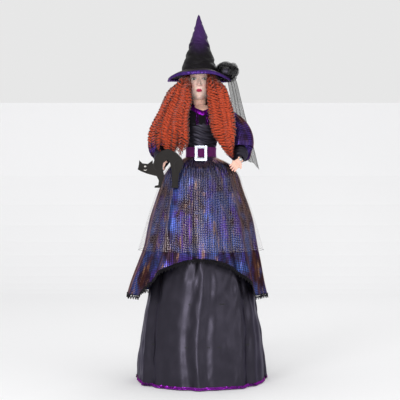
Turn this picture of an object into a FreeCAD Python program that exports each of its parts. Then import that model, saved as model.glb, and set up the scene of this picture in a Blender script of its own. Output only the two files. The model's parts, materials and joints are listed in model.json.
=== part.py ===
import FreeCAD, Part
import math
import os
import re

import Sketcher

# Animated witch figure, millimetres, +Z up, front towards -Y, the witch's left towards +X.
# The origin is the centre of the base pad's underside, where the figure stands on the floor.
# Heights of the upper body are rises above the waist, and heights of the skirts are drops below it.

DIMENSIONS = (
    # base and post
    ("base_radius", 132, "base plate radius"),
    ("base_thickness", 12, "base plate thickness"),
    ("pad_radius", 130, "base pad radius"),
    ("pad_thickness", 2, "base pad thickness"),
    ("flange_radius", 35, "post flange radius"),
    ("flange_thickness", 4, "post flange thickness"),
    ("socket_wall", 3, "wall of the socket round the post"),
    ("socket_height", 32, "height of the socket above the flange"),
    ("post_radius", 9.5, "post outer radius"),
    ("post_wall", 1.5, "post wall"),
    ("screw_circle_radius", 26, "radius of the base screws' circle"),
    ("screw_radius", 2, "base screw shank radius"),
    ("screw_head_radius", 4, "base screw head radius"),
    ("screw_head_height", 2.5, "base screw head height"),
    ("screw_length", 12, "base screw length under the head"),
    ("screw_hole_clearance", 0.15, "radial clearance of the flange's screw holes"),
    # control box
    ("box_width", 90, "control box width, along X"),
    ("box_depth", 66, "control box depth, along Y"),
    ("box_height", 40, "control box height"),
    ("box_wall", 2, "control box wall"),
    ("box_front", 44, "control box front face, behind the post axis"),
    ("door_thickness", 2, "battery door thickness"),
    ("door_gap", 0.2, "gap between the door and what it closes"),
    ("door_swing_gap", 1.2, "gap between the door's back corners and the hinge ears"),
    ("hinge_radius", 2, "battery door barrel radius"),
    ("hinge_pin_radius", 1.3, "battery door hinge pin radius"),
    ("hinge_span", 60, "distance between the hinge ears"),
    ("ear_thickness", 4, "hinge ear thickness"),
    ("ear_height", 6, "hinge ear height above the box"),
    ("battery_radius", 7.25, "AA cell radius"),
    ("battery_length", 50, "AA cell length"),
    ("battery_pitch", 15, "spacing of the cells"),
    ("battery_offset", 15, "middle of the cells, right of the box's middle"),
    ("speaker_radius", 14, "speaker radius"),
    ("speaker_height", 10, "speaker height"),
    ("speaker_offset", 27, "speaker axis, left of the box's middle"),
    ("knob_size", 4, "switch knob width and height"),
    ("knob_length", 6, "switch knob length through the wall"),
    ("knob_travel", 6, "travel of the switch knob"),
    ("knob_height", 22, "switch knob above the base plate"),
    ("knob_gap", 0.3, "clearance round the switch knob"),
    ("button_radius", 6, "try-me button radius"),
    ("button_length", 6, "try-me button length"),
    ("button_stand", 4, "how far the button stands out of the wall"),
    ("button_height", 22, "try-me button above the base plate"),
    ("button_gap", 0.3, "radial clearance round the button"),
    ("loom_radius", 2, "wiring loom radius"),
    ("loom_start_rise", 20, "where the loom leaves the box, above the base plate"),
    ("loom_run", 19, "first straight of the loom, out of the box"),
    ("loom_entry_height", 100, "height where the loom joins the post's axis"),
    ("loom_gap", 1, "clearance round the loom where it goes through a wall"),
    # hoop frame under the skirts
    ("ring_wire", 1.5, "hoop ring wire radius"),
    ("rib_wire", 1.2, "hoop rib wire radius"),
    ("hoop_gap", 2, "space between the hoops and the underskirt"),
    ("hub_wall", 4, "wall of the hoop hub round the post"),
    ("hub_height", 12, "hoop hub height"),
    ("rib_count", 6, "number of hoop ribs"),
    # waist and skirts
    ("waist_height", 556, "height of the waist"),
    ("waist_gap", 0.5, "drop from the waist to the top of the skirts"),
    ("skirt_wall", 1.2, "underskirt cloth and lining thickness"),
    ("cloth_wall", 0.8, "overskirt and net thickness"),
    ("hem_height", 1.5, "height of the underskirt's hem"),
    ("under_waist_radius", 33, "underskirt radius at the waist"),
    ("level_hip", 56, "drop to the hip"),
    ("level_knee", 136, "drop to the upper hoop"),
    ("level_shin", 236, "drop to the second hoop"),
    ("level_low", 356, "drop to the third hoop"),
    ("level_foot", 456, "drop to the lowest hoop"),
    ("under_hip_radius", 68, "underskirt radius at the hip"),
    ("under_knee_radius", 93, "underskirt radius at the upper hoop"),
    ("under_shin_radius", 117, "underskirt radius at the second hoop"),
    ("under_low_radius", 136, "underskirt radius at the third hoop"),
    ("under_foot_radius", 152, "underskirt radius at the lowest hoop"),
    ("under_hem_radius", 162, "underskirt radius at the hem"),
    ("over_waist_radius", 35, "overskirt radius at the waist"),
    ("over_level_top", 16, "drop to the overskirt's first bend"),
    ("over_level_full", 39, "drop to the overskirt's second bend"),
    ("over_level_hip", 80, "drop to the overskirt's hip"),
    ("over_level_knee", 151, "drop to the overskirt's middle"),
    ("over_level_flare", 228, "drop to the start of the flare"),
    ("over_level_low", 254, "drop to the flare's bend"),
    ("over_length", 340, "drop to the overskirt's hem at the sides and back"),
    ("over_top_radius", 60, "overskirt radius at its first bend"),
    ("over_full_radius", 84, "overskirt radius at its second bend"),
    ("over_hip_radius", 100, "overskirt radius at its hip"),
    ("over_knee_radius", 121, "overskirt radius at its middle"),
    ("over_flare_radius", 136, "overskirt radius at the start of the flare"),
    ("over_low_radius", 143, "overskirt radius at the flare's bend"),
    ("over_hem_radius", 167, "overskirt radius at its hem"),
    ("arch_radius", 160, "radius of the arch cut in the overskirt's front"),
    ("arch_drop", 248, "drop to the top of the front arch"),
    ("lace_height", 9, "height of the lace along the hem"),
    ("lace_gap", 0.4, "space between the overskirt and the lace"),
    ("net_gap", 2, "space between the overskirt and the net above the middle"),
    ("net_knee_radius", 128, "net radius at the overskirt's middle"),
    ("net_hem_radius", 152, "net radius at its hem"),
    # belt
    ("belt_width", 24, "belt width"),
    ("belt_thickness", 1.6, "belt thickness"),
    ("belt_gap", 0.4, "space between the bodice and the belt"),
    ("buckle_width", 31, "buckle width"),
    ("buckle_height", 39, "buckle height"),
    ("buckle_rim", 7, "width of the buckle's rim"),
    ("buckle_thickness", 3, "buckle thickness"),
    ("buckle_drop", 11, "drop from the waist to the buckle's lower edge"),
    ("buckle_clearance", 1.5, "space round the buckle in the skirts"),
    # chest, its sections from the waist up: rise, half width, half depth
    ("waist_half_width", 31, "chest at the waist"),
    ("waist_half_depth", 27, "chest at the waist"),
    ("ribs_rise", 34, "rise to the ribs"),
    ("ribs_half_width", 37, "chest at the ribs"),
    ("ribs_half_depth", 30, "chest at the ribs"),
    ("bust_rise", 72, "rise to the bust"),
    ("bust_half_width", 50, "chest at the bust"),
    ("bust_half_depth", 41, "chest at the bust"),
    ("shoulder_rise", 104, "rise to the shoulders"),
    ("shoulder_half_width", 53, "chest at the shoulders"),
    ("shoulder_half_depth", 37, "chest at the shoulders"),
    ("slope_rise", 118, "rise to the shoulder slope"),
    ("slope_half_width", 42, "chest at the shoulder slope"),
    ("slope_half_depth", 31, "chest at the shoulder slope"),
    ("neck_rise", 128, "rise to the neck opening"),
    ("neck_half_width", 21, "chest at the neck opening"),
    ("neck_half_depth", 20, "chest at the neck opening"),
    ("chest_wall", 2, "chest shell wall"),
    ("web_thickness", 3, "web that joins the chest to the post"),
    ("cloth_gap", 0.3, "space between the chest and the bodice"),
    ("bodice_wall", 1.2, "bodice thickness"),
    ("collar_gap", 0.3, "space between the bodice and the collar"),
    ("collar_wall", 1.4, "collar thickness"),
    # chassis
    ("chassis_rise", 44, "rise to the chassis floor"),
    ("chassis_height", 66, "chassis height"),
    ("chassis_half_width", 30, "half the chassis width"),
    ("chassis_half_depth", 18, "half the chassis depth"),
    ("chassis_sheet", 2, "chassis sheet thickness"),
    ("sleeve_depth", 12, "depth of the chassis sleeve on the post"),
    ("back_wall_half_width", 14, "half the width of the chassis back wall"),
    ("back_wall_height", 48, "height of the chassis back wall"),
    # shafts and gears
    ("running_clearance", 0.05, "radial clearance of a running fit"),
    ("gear_module", 1, "gear module"),
    ("gear_addendum", 0.75, "tooth height above the pitch circle, in modules"),
    ("gear_dedendum", 1.1, "tooth depth below the pitch circle, in modules"),
    ("gear_backlash", 0.2, "how much each tooth is thinned at the pitch circle"),
    ("gear_width", 4, "face width of the gears"),
    ("head_gear_teeth", 28, "head gear teeth"),
    ("head_pinion_teeth", 14, "head pinion teeth"),
    ("arm_gear_teeth", 24, "arm gear teeth"),
    ("arm_pinion_teeth", 16, "arm pinion teeth"),
    ("head_gear_rise", 96, "rise to the head gear"),
    ("arm_shaft_rise", 80, "rise to the arm shaft"),
    ("arm_gear_offset", 6, "arm gear face, left of the middle"),
    ("neck_shaft_radius", 3, "neck shaft radius"),
    ("neck_shaft_length", 51, "neck shaft length"),
    ("neck_shaft_drop", 2, "how far the neck shaft goes below its gear"),
    ("arm_shaft_radius", 2.5, "arm shaft radius"),
    ("bush_wall", 2.5, "bush wall"),
    ("bush_length", 6, "bush length"),
    ("motor_shaft_radius", 1.5, "gearmotor output shaft radius"),
    ("motor_width", 14, "gearmotor width"),
    ("motor_depth", 12, "gearmotor depth"),
    ("motor_length", 30, "gearmotor length"),
    ("motor_gap", 2, "space between a gearmotor and its pinion"),
    # arm linkage
    ("crank_offset", 84, "inner face of the cranks, from the middle"),
    ("crank_thickness", 3, "crank and lever thickness"),
    ("crank_radius", 12, "crank and lever radius, centre to centre"),
    ("crank_half_width", 4, "half the width of the cranks and levers"),
    ("link_pin_radius", 1.5, "crank pin radius"),
    ("rod_gap", 1, "space between a crank and its push rod"),
    ("rod_thickness", 2.5, "push rod thickness"),
    ("rod_half_width", 3, "half the width of the push rods"),
    ("rod_slack", 0.5, "radial slack at the push rod's lower eye"),
    ("elbow_rise", 22, "rise to the elbow axis"),
    ("elbow_pin_radius", 2, "elbow pin radius"),
    ("elbow_pin_head", 3.5, "elbow pin head radius"),
    ("elbow_pin_head_height", 2, "elbow pin head height"),
    ("elbow_hub_radius", 4.5, "forearm hub radius"),
    ("forearm_offset", 96, "forearm tube, from the middle"),
    ("forearm_radius", 4, "forearm tube radius"),
    ("elbow_block_offset", 104, "inner face of the elbow block, from the middle"),
    ("elbow_block_width", 8, "elbow block width"),
    ("elbow_block_front", 18, "elbow block in front of the elbow axis"),
    ("elbow_block_back", 6, "elbow block behind the elbow axis"),
    ("elbow_block_below", 8, "elbow block below the elbow axis"),
    ("elbow_block_above", 22, "elbow block above the elbow axis"),
    ("upper_arm_radius", 4, "upper arm tube radius"),
    ("upper_arm_front", 12, "upper arm in front of the arm shaft"),
    ("upper_arm_rise", 96, "rise to the upper arm's root"),
    ("arm_foot_thickness", 2, "thickness of the upper arm's foot plate"),
    ("arm_foot_half", 6, "half the foot plate's width"),
    ("arm_foot_height", 10, "half the foot plate's height"),
    ("shell_hole_gap", 1, "clearance where arms go through the chest"),
    ("left_wrist_reach", 62, "left wrist in front of the elbow"),
    ("left_wrist_drop", 30, "left wrist below the elbow"),
    ("right_wrist_reach", 84, "right wrist in front of the elbow"),
    ("right_wrist_drop", 52, "right wrist below the elbow"),
    # hands and cuffs
    ("palm_width", 15, "palm width"),
    ("palm_length", 17, "palm length"),
    ("palm_thickness", 7, "palm thickness"),
    ("finger_radius", 2, "finger radius"),
    ("finger_length", 18, "middle finger length"),
    ("thumb_length", 13, "thumb length"),
    ("cuff_start", 30, "start of the cuff, from the elbow"),
    ("cuff_end", 8, "end of the cuff, before the wrist"),
    ("cuff_top_radius", 12, "cuff radius at the elbow end"),
    ("cuff_wrist_radius", 10, "cuff radius at the wrist"),
    ("cuff_wall", 1.5, "cuff thickness"),
    ("sleeve_wall", 1.2, "sleeve thickness"),
    ("armhole_radius", 21, "armhole radius"),
    # cat board
    ("cat_height", 94.5, "height of the cat cut-out"),
    ("cat_thickness", 3, "thickness of the cat cut-out"),
    ("cat_drop", 77.5, "drop from the waist to the cat's paws"),
    ("cat_offset", 153, "nose side of the cat, right of the middle"),
    # head, wig and hat
    ("neck_radius", 16.5, "neck radius"),
    ("neck_bottom_rise", 120, "rise to the lower end of the neck"),
    ("neck_plug_rise", 136, "rise to the plug in the neck"),
    ("neck_plug_height", 8, "height of the plug in the neck"),
    ("head_rise", 192, "rise to the middle of the head"),
    ("head_half_width", 31, "half the head's width"),
    ("head_half_depth", 38, "half the head's depth"),
    ("head_half_height", 50, "half the head's height"),
    ("head_wall", 2.5, "head shell wall"),
    ("nose_radius", 4, "nose radius"),
    ("nose_stand", 3, "how far the nose stands out"),
    ("wig_radius", 46, "radius of the hair on the head"),
    ("wig_gap", 0.3, "space between the scalp and the wig"),
    ("wig_bottom_rise", 150, "rise to the lower end of the hair on the head"),
    ("wig_top_rise", 200, "rise to the upper end of the hair on the head"),
    ("face_half_width", 20, "half the width of the opening for the face"),
    ("locks_rise", 178, "rise to the top of the hanging locks"),
    ("locks_front", 46, "back of the front locks, in front of the middle"),
    ("locks_thickness", 20, "thickness of the hanging locks"),
    ("locks_back", 46, "front of the back locks, behind the middle"),
    ("hat_rise", 210, "rise to the hat's lower edge"),
    ("hat_height", 148, "hat height"),
    ("hat_base_radius", 46, "hat cone radius at its lower edge"),
    ("hat_wall", 2, "hat cone wall"),
    ("hat_tip_radius", 2, "hat tip radius"),
    ("brim_radius", 78.5, "brim felt radius"),
    ("brim_bend", 135, "radius that the brim is bent to"),
    ("brim_rise", 217, "rise to the top of the bent brim"),
    ("brim_thickness", 2, "brim thickness"),
    ("binding_width", 3.5, "how far the binding stands beyond the felt"),
    ("binding_thickness", 3.6, "binding thickness"),
    ("rosette_offset", 66, "middle of the rosette, left of the middle"),
    ("rosette_front", 12, "middle of the rosette, in front of the middle"),
    ("rosette_rise", 214, "rise to the middle of the rosette"),
    ("rosette_half_width", 32, "half the rosette's width"),
    ("rosette_half_depth", 24, "half the rosette's depth"),
    ("rosette_half_height", 27, "half the rosette's height"),
    ("rosette_gap", 0.4, "space between the rosette and the hat"),
    ("veil_thickness", 1, "thickness of the gathered veil"),
    ("veil_radius", 84, "radius of the veil under the brim"),
    ("veil_top_rise", 183, "rise to the top of the veil"),
    ("veil_split_rise", 150, "rise where the veil on the hat ends"),
    ("veil_angle", 50, "angle that the veil spans at the brim"),
    ("veil_gap", 3, "gap between the two parts of the veil"),
    ("veil_back", 48, "hanging veil behind the middle"),
)

document = FreeCAD.newDocument("animated_witch_figure")
sheet = document.addObject("Spreadsheet::Sheet", "dims")
for row, (alias, number, note) in enumerate(DIMENSIONS, start=1):
    sheet.set(f"A{row}", note)
    sheet.set(f"B{row}", str(number))
    sheet.setAlias(f"B{row}", alias)
document.recompute()

Vector = FreeCAD.Vector
UPRIGHT = FreeCAD.Rotation()
ALONG_X = FreeCAD.Rotation(Vector(0, 0, 1), Vector(1, 0, 0))
ALONG_Y = FreeCAD.Rotation(Vector(0, 0, 1), Vector(0, 1, 0))
CELL_WORD = re.compile(r"\b(" + "|".join(alias for alias, _, _ in DIMENSIONS) + r")\b")
GEAR_ANGLE = math.radians(20)
FLANK_STEPS = 5
FAR = "600"

sub_parts = {}


# ---------------------------------------------------------------- helpers

def cells(formula):
    """The formula with each dimension's name turned into its cell in the sheet."""
    return CELL_WORD.sub(r"dims.\1", str(formula))


def value(formula):
    """The formula's number."""
    return float(sheet.evalExpression(cells(formula)))


def bind(item, **formulas):
    for name, formula in formulas.items():
        item.setExpression(name, cells(formula))


def place(item, x="0", y="0", z="0", rotation=UPRIGHT):
    item.Placement = FreeCAD.Placement(Vector(), rotation)
    for axis, formula in zip("xyz", (x, y, z)):
        item.setExpression(f"Placement.Base.{axis}", cells(formula))
    return item


def keep(label, item):
    """Makes the item a sub-part of the figure, under its own name."""
    item.Label = label
    sub_parts[label] = item
    return item


def cylinder(radius, height, x="0", y="0", z="0", rotation=UPRIGHT):
    item = document.addObject("Part::Cylinder", "cylinder")
    bind(item, Radius=radius, Height=height)
    return place(item, x, y, z, rotation)


def box(x, y, z):
    """A box from three (low, high) pairs of formulas."""
    item = document.addObject("Part::Box", "box")
    sizes = [f"({high}) - ({low})" for low, high in (x, y, z)]
    bind(item, Length=sizes[0], Width=sizes[1], Height=sizes[2])
    return place(item, x[0], y[0], z[0])


def ellipsoid(half_width, half_depth, half_height, x="0", y="0", z="0"):
    item = document.addObject("Part::Ellipsoid", "ellipsoid")
    bind(item, Radius1=half_height, Radius2=half_width, Radius3=half_depth)
    return place(item, x, y, z)


def rod(radius, start, end):
    """A cylinder from one point to another, each given as three formulas."""
    first = Vector(*[value(formula) for formula in start])
    last = Vector(*[value(formula) for formula in end])
    item = document.addObject("Part::Cylinder", "rod")
    bind(item, Radius=radius)
    item.Height = (last - first).Length
    rotation = FreeCAD.Rotation(Vector(0, 0, 1), last - first)
    return place(item, *start, rotation)


def cut(base, *tools):
    for tool in tools:
        item = document.addObject("Part::Cut", "cut")
        item.Base = base
        item.Tool = tool
        base = item
    return base


def fuse(*items):
    item = document.addObject("Part::MultiFuse", "fuse")
    item.Shapes = list(items)
    item.Refine = True
    return item


def common(*items):
    item = document.addObject("Part::MultiCommon", "common")
    item.Shapes = list(items)
    return item


def group(*items):
    """Separate solids that share one node."""
    item = document.addObject("Part::Compound", "group")
    item.Links = list(items)
    return item


def mirrored(source):
    """The source's other hand, across the figure's middle."""
    item = document.addObject("Part::Mirroring", "mirrored")
    item.Source = source
    item.Normal = Vector(1, 0, 0)
    return item


def loft(sections):
    """Straight walls through ellipses: (height, half width, half depth, middle x) formulas."""
    rings = []
    for height, half_width, half_depth, middle in sections:
        ring = document.addObject("Part::Ellipse", "ring")
        wide = value(half_width) >= value(half_depth)
        bind(ring, MajorRadius=half_width if wide else half_depth)
        bind(ring, MinorRadius=half_depth if wide else half_width)
        turn = UPRIGHT if wide else FreeCAD.Rotation(Vector(0, 0, 1), 90)
        rings.append(place(ring, middle, "0", height, turn))
    item = document.addObject("Part::Loft", "loft")
    item.Sections = rings
    item.Solid = True
    item.Ruled = True
    return item


def new_body(name):
    return document.addObject("PartDesign::Body", name)


def new_sketch(body, role):
    sketch = body.newObject("Sketcher::SketchObject", "sketch")
    planes = [feature for feature in body.Origin.OriginFeatures if feature.Role == role]
    sketch.AttachmentSupport = [(planes[0], "")]
    sketch.MapMode = "FlatFace"
    return sketch


def pin_point(sketch, geometry, position, formulas):
    """Ties a point of the sketch to two formulas, measured from the sketch's origin."""
    for kind, axis, formula in zip(("DistanceX", "DistanceY"), (-2, -1), formulas):
        number = value(formula)
        if abs(number) < 1e-9:
            sketch.addConstraint(Sketcher.Constraint("PointOnObject", geometry, position, axis))
            continue
        index = sketch.addConstraint(Sketcher.Constraint(kind, -1, 1, geometry, position, number))
        sketch.setExpression(f"Constraints[{index}]", cells(formula))


def draw_polygon(sketch, corners):
    points = [Vector(value(u), value(v), 0) for u, v in corners]
    first = sketch.GeometryCount
    for start, end in zip(points, points[1:] + points[:1]):
        sketch.addGeometry(Part.LineSegment(start, end))
    for index in range(len(points)):
        following = first + (index + 1) % len(points)
        sketch.addConstraint(Sketcher.Constraint("Coincident", first + index, 2, following, 1))
    for index, corner in enumerate(corners):
        pin_point(sketch, first + index, 1, corner)


def draw_circle(sketch, radius, u="0", v="0"):
    middle = Vector(value(u), value(v), 0)
    geometry = sketch.addGeometry(Part.Circle(middle, Vector(0, 0, 1), value(radius)))
    pin_point(sketch, geometry, 3, (u, v))
    index = sketch.addConstraint(Sketcher.Constraint("Radius", geometry, value(radius)))
    sketch.setExpression(f"Constraints[{index}]", cells(radius))


def pad(body, sketch, length, downwards=False):
    feature = body.newObject("PartDesign::Pad", "pad")
    feature.Profile = sketch
    bind(feature, Length=length)
    feature.Reversed = downwards
    document.recompute()
    return feature


def pocket(body, sketch, depth=None, upwards=False):
    feature = body.newObject("PartDesign::Pocket", "pocket")
    feature.Profile = sketch
    if depth is None:
        feature.Type = "ThroughAll"
        feature.Midplane = True
    else:
        bind(feature, Length=depth)
        feature.Reversed = upwards
    before = body.Shape.Volume
    document.recompute()
    if body.Shape.Volume >= before:
        raise RuntimeError(f"{body.Name}: a pocket cuts nothing")
    return feature


def pattern_round(body, feature, count):
    """Repeats a feature round the body's own Z axis."""
    pattern = body.newObject("PartDesign::PolarPattern", "pattern")
    axes = [item for item in body.Origin.OriginFeatures if item.Role == "Z_Axis"]
    pattern.Originals = [feature]
    pattern.Axis = (axes[0], [""])
    pattern.Angle = 360
    bind(pattern, Occurrences=count)
    body.Tip = pattern
    document.recompute()
    return pattern


def disc_body(name, radius, length):
    body = new_body(name)
    sketch = new_sketch(body, "XY_Plane")
    draw_circle(sketch, radius)
    pad(body, sketch, length)
    return body


def turned(name, section):
    """A body turned about Z from its (radius, height) section."""
    body = new_body(name)
    sketch = new_sketch(body, "XZ_Plane")
    draw_polygon(sketch, section)
    feature = body.newObject("PartDesign::Revolution", "revolution")
    feature.Profile = sketch
    feature.ReferenceAxis = (sketch, ["V_Axis"])
    feature.Angle = 360
    return body


def turned_shell(name, outline, wall):
    """A shell turned about Z whose outside follows (radius, height) and whose wall is level."""
    inside = [(f"({radius}) - {wall}", height) for radius, height in outline]
    return turned(name, list(outline) + inside[::-1])


# ---------------------------------------------------------------- base and post

PLATE_TOP = "(pad_thickness + base_thickness)"
FLANGE_TOP = f"({PLATE_TOP} + flange_thickness)"
CHASSIS_FLOOR = "(waist_height + chassis_rise)"
SOCKET_RADIUS = "(post_radius + socket_wall)"


def pilot_holes(body, radius):
    sketch = new_sketch(body, "XY_Plane")
    draw_circle(sketch, radius, "screw_circle_radius")
    hole = pocket(body, sketch)
    pattern_round(body, hole, "4")


def make_base():
    keep("base_pad", disc_body("base_pad", "pad_radius", "pad_thickness"))
    plate = disc_body("base_plate", "base_radius", "base_thickness")
    pilot_holes(plate, "screw_radius")
    keep("base_plate", place(plate, z="pad_thickness"))

    section = (
        ("post_radius", "0"),
        ("flange_radius", "0"),
        ("flange_radius", "flange_thickness"),
        (SOCKET_RADIUS, "flange_thickness"),
        (SOCKET_RADIUS, "flange_thickness + socket_height"),
        ("post_radius", "flange_thickness + socket_height"),
    )
    flange = turned("post_flange", section)
    document.recompute()
    pilot_holes(flange, "screw_radius + screw_hole_clearance")
    keep("post_flange", place(flange, z=PLATE_TOP))

    screws = []
    for quarter in range(4):
        x = f"screw_circle_radius * {round(math.cos(math.pi / 2 * quarter))}"
        y = f"screw_circle_radius * {round(math.sin(math.pi / 2 * quarter))}"
        shank = cylinder("screw_radius", "screw_length", x, y, f"{FLANGE_TOP} - screw_length")
        head = cylinder("screw_head_radius", "screw_head_height", x, y, FLANGE_TOP)
        screws.append(fuse(shank, head))
    keep("base_screws", group(*screws))


def loom_points():
    """Corners of the loom's route: out of the box, across to the post and up its bore."""
    start_z = f"({PLATE_TOP} + loom_start_rise)"
    return (
        ("0", "box_front", start_z),
        ("0", "box_front - loom_run", start_z),
        ("0", "0", "loom_entry_height"),
        ("0", "0", ARM_MOTOR_BOTTOM),
    )


def make_post():
    length = f"({CHASSIS_FLOOR} - {PLATE_TOP})"
    tube = cylinder("post_radius", length, z=PLATE_TOP)
    bore = cylinder("post_radius - post_wall", length, z=PLATE_TOP)
    route = loom_points()
    loom_hole = rod("loom_radius + loom_gap", route[1], route[2])
    keep("post", cut(tube, bore, loom_hole))


# ---------------------------------------------------------------- control box

BOX_TOP = f"({PLATE_TOP} + box_height)"
BOX_BACK = "(box_front + box_depth)"
HINGE_Y = f"({BOX_BACK} + hinge_radius)"
HINGE_Z = f"({BOX_TOP} + ear_height / 2)"
KNOB_Z = f"({PLATE_TOP} + knob_height)"
BUTTON_Z = f"({PLATE_TOP} + button_height)"


def make_control_box():
    half = "(box_width / 2)"
    shell = new_body("control_box_shell")
    corners = ((f"-{half}", "0"), (half, "0"), (half, "box_depth"), (f"-{half}", "box_depth"))
    outline = new_sketch(shell, "XY_Plane")
    draw_polygon(outline, corners)
    pad(shell, outline, "box_height")
    place(shell, y="box_front", z=PLATE_TOP)
    inside = box(
        (f"-{half} + box_wall", f"{half} - box_wall"),
        ("box_front + box_wall", f"{BOX_BACK} - box_wall"),
        (f"{PLATE_TOP} + box_wall", f"{BOX_TOP} + 1"),
    )
    middle = "(box_front + box_depth / 2)"
    slot = box(
        (f"-{half} - 1", f"-{half} + box_wall + 1"),
        (f"{middle} - knob_size / 2 - knob_gap", f"{middle} + knob_size / 2 + knob_travel + knob_gap"),
        (f"{KNOB_Z} - knob_size / 2 - knob_gap", f"{KNOB_Z} + knob_size / 2 + knob_gap"),
    )
    hole = cylinder("button_radius + button_gap", "box_wall + 2",
                    f"{half} - box_wall - 1", middle, BUTTON_Z, ALONG_X)
    loom_hole = cylinder("loom_radius + loom_gap", "box_wall + 2",
                         "0", "box_front - 1", f"{PLATE_TOP} + loom_start_rise", ALONG_Y)
    ears = []
    for side in ("hinge_span / 2", "-(hinge_span / 2) - ear_thickness"):
        ear = box(
            (side, f"{side} + ear_thickness"),
            (f"{BOX_BACK} - box_wall", f"{HINGE_Y} + hinge_radius"),
            (f"{BOX_TOP} - ear_height", f"{BOX_TOP} + ear_height"),
        )
        eye = cylinder("hinge_pin_radius + running_clearance", "ear_thickness + 2",
                       f"{side} - 1", HINGE_Y, HINGE_Z, ALONG_X)
        ears.append(cut(ear, eye))
    open_box = cut(shell, inside, slot, hole, loom_hole)
    keep("control_box", fuse(open_box, *ears))

    knob = box(
        (f"-{half} - knob_length + box_wall + 1", f"-{half} + box_wall + 1"),
        (f"{middle} - knob_size / 2", f"{middle} + knob_size / 2"),
        (f"{KNOB_Z} - knob_size / 2", f"{KNOB_Z} + knob_size / 2"),
    )
    keep("switch_knob", knob)
    keep("try_me_button", cylinder("button_radius", "button_length",
                                   f"{half} + button_stand - button_length", middle, BUTTON_Z, ALONG_X))


def make_battery_door():
    half = "(box_width / 2)"
    low = f"({BOX_TOP} + door_gap)"
    notch = "(hinge_span / 2 - door_gap)"
    back = f"({BOX_BACK} - box_wall - door_swing_gap)"
    plate = box((f"-{half}", half), ("box_front", back), (low, f"{low} + door_thickness"))
    tongue = box((f"-{notch}", notch), (back, HINGE_Y), (low, f"{low} + door_thickness"))
    barrel = cylinder("hinge_radius", f"2 * {notch}", f"-{notch}", HINGE_Y, HINGE_Z, ALONG_X)
    pin_half = "(hinge_span / 2 + ear_thickness)"
    pin = cylinder("hinge_pin_radius", f"2 * {pin_half}", f"-{pin_half}", HINGE_Y, HINGE_Z, ALONG_X)
    keep("battery_door", fuse(plate, tongue, barrel, pin))


def make_electrics():
    cells_made = []
    floor = f"({PLATE_TOP} + box_wall)"
    for index in range(4):
        y = f"box_front + box_depth / 2 + battery_pitch * {index - 1.5}"
        x = "battery_offset - battery_length / 2"
        cells_made.append(cylinder("battery_radius", "battery_length", x, y,
                                   f"{floor} + battery_radius", ALONG_X))
    keep("batteries", group(*cells_made))
    keep("speaker", cylinder("speaker_radius", "speaker_height", "-speaker_offset",
                             "box_front + box_depth / 2 - speaker_radius / 2", floor))


def make_wiring_loom():
    """One tube along its route: straight runs joined by tangent arcs."""
    points = [Vector(*[value(formula) for formula in point]) for point in loom_points()]
    edges = []
    start = points[0]
    for before, corner, after in zip(points, points[1:], points[2:]):
        into = (corner - before).normalize()
        away = (after - corner).normalize()
        half_turn = into.getAngle(away) / 2
        trim = 0.45 * min((corner - before).Length, (after - corner).Length)
        first = corner - into * trim
        last = corner + away * trim
        inward = (away - into).normalize()
        radius = trim / math.tan(half_turn)
        print(f"wiring_loom bend radius {radius:.1f} mm")
        middle = corner + inward * (radius / math.cos(half_turn) - radius)
        edges.append(Part.LineSegment(start, first).toShape())
        edges.append(Part.Arc(first, middle, last).toShape())
        start = last
    edges.append(Part.LineSegment(start, points[-1]).toShape())
    path = Part.Wire(edges)
    direction = points[1] - points[0]
    ring = Part.Wire(Part.makeCircle(value("loom_radius"), points[0], direction))
    item = document.addObject("Part::Feature", "loom")
    item.Shape = path.makePipeShell([ring], True, True)
    keep("wiring_loom", item)


# ---------------------------------------------------------------- hoop frame

RING_LEVELS = ("knee", "shin", "low", "foot")


def ring_radius(level):
    return f"(under_{level}_radius - skirt_wall - hoop_gap - ring_wire)"


def make_hoops():
    rings = []
    for level in RING_LEVELS:
        ring = document.addObject("Part::Torus", "ring")
        bind(ring, Radius1=ring_radius(level), Radius2="ring_wire")
        rings.append(place(ring, z=f"waist_height - level_{level}"))
    hub_z = "waist_height - level_hip"
    hub = cylinder("post_radius + hub_wall", "hub_height", z=hub_z)
    bore = cylinder("post_radius", "hub_height", z=hub_z)
    keep("hoop_rings", group(cut(hub, bore), *rings))

    ribs = []
    hub_point = ("post_radius + hub_wall", f"{hub_z} + hub_height / 2")
    stations = [hub_point]
    for level in RING_LEVELS:
        stations.append((f"{ring_radius(level)} - ring_wire - rib_wire", f"waist_height - level_{level}"))
    for index in range(int(value("rib_count"))):
        angle = 2 * math.pi * (index + 0.5) / value("rib_count")
        x_share, y_share = math.cos(angle), math.sin(angle)
        points = [(f"({r}) * {x_share}", f"({r}) * {y_share}", z) for r, z in stations]
        pieces = [rod("rib_wire", *pair) for pair in zip(points, points[1:])]
        for point in points[1:]:
            ball = document.addObject("Part::Sphere", "ball")
            bind(ball, Radius="rib_wire")
            pieces.append(place(ball, *point))
        ribs.append(fuse(*pieces))
    collar = cylinder("post_radius + hub_wall", "hub_height", z=hub_z)
    keep("hoop_ribs", group(*[cut(rib, collar) for rib in ribs]))


# ---------------------------------------------------------------- skirts and belt

SKIRT_TOP = "(waist_height - waist_gap)"
OVER_LEVELS = ("top", "full", "hip", "knee", "flare", "low")


def buckle_room():
    """The space that the buckle takes out of the gathered tops of the skirts."""
    side = "buckle_width / 2 + buckle_clearance"
    front = f"{buckle_back()} - buckle_clearance"
    return box((f"-({side})", side), ("-over_full_radius", f"-({front})"),
               ("waist_height - buckle_drop - buckle_clearance", "waist_height + belt_width"))


def over_outline(extra):
    """Overskirt outline, set out by the given distance."""
    outline = [(f"over_waist_radius + {extra}", SKIRT_TOP)]
    for level in OVER_LEVELS:
        outline.append((f"over_{level}_radius + {extra}", f"waist_height - over_level_{level}"))
    outline.append((f"over_hem_radius + {extra}", "waist_height - over_length"))
    return outline


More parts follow.
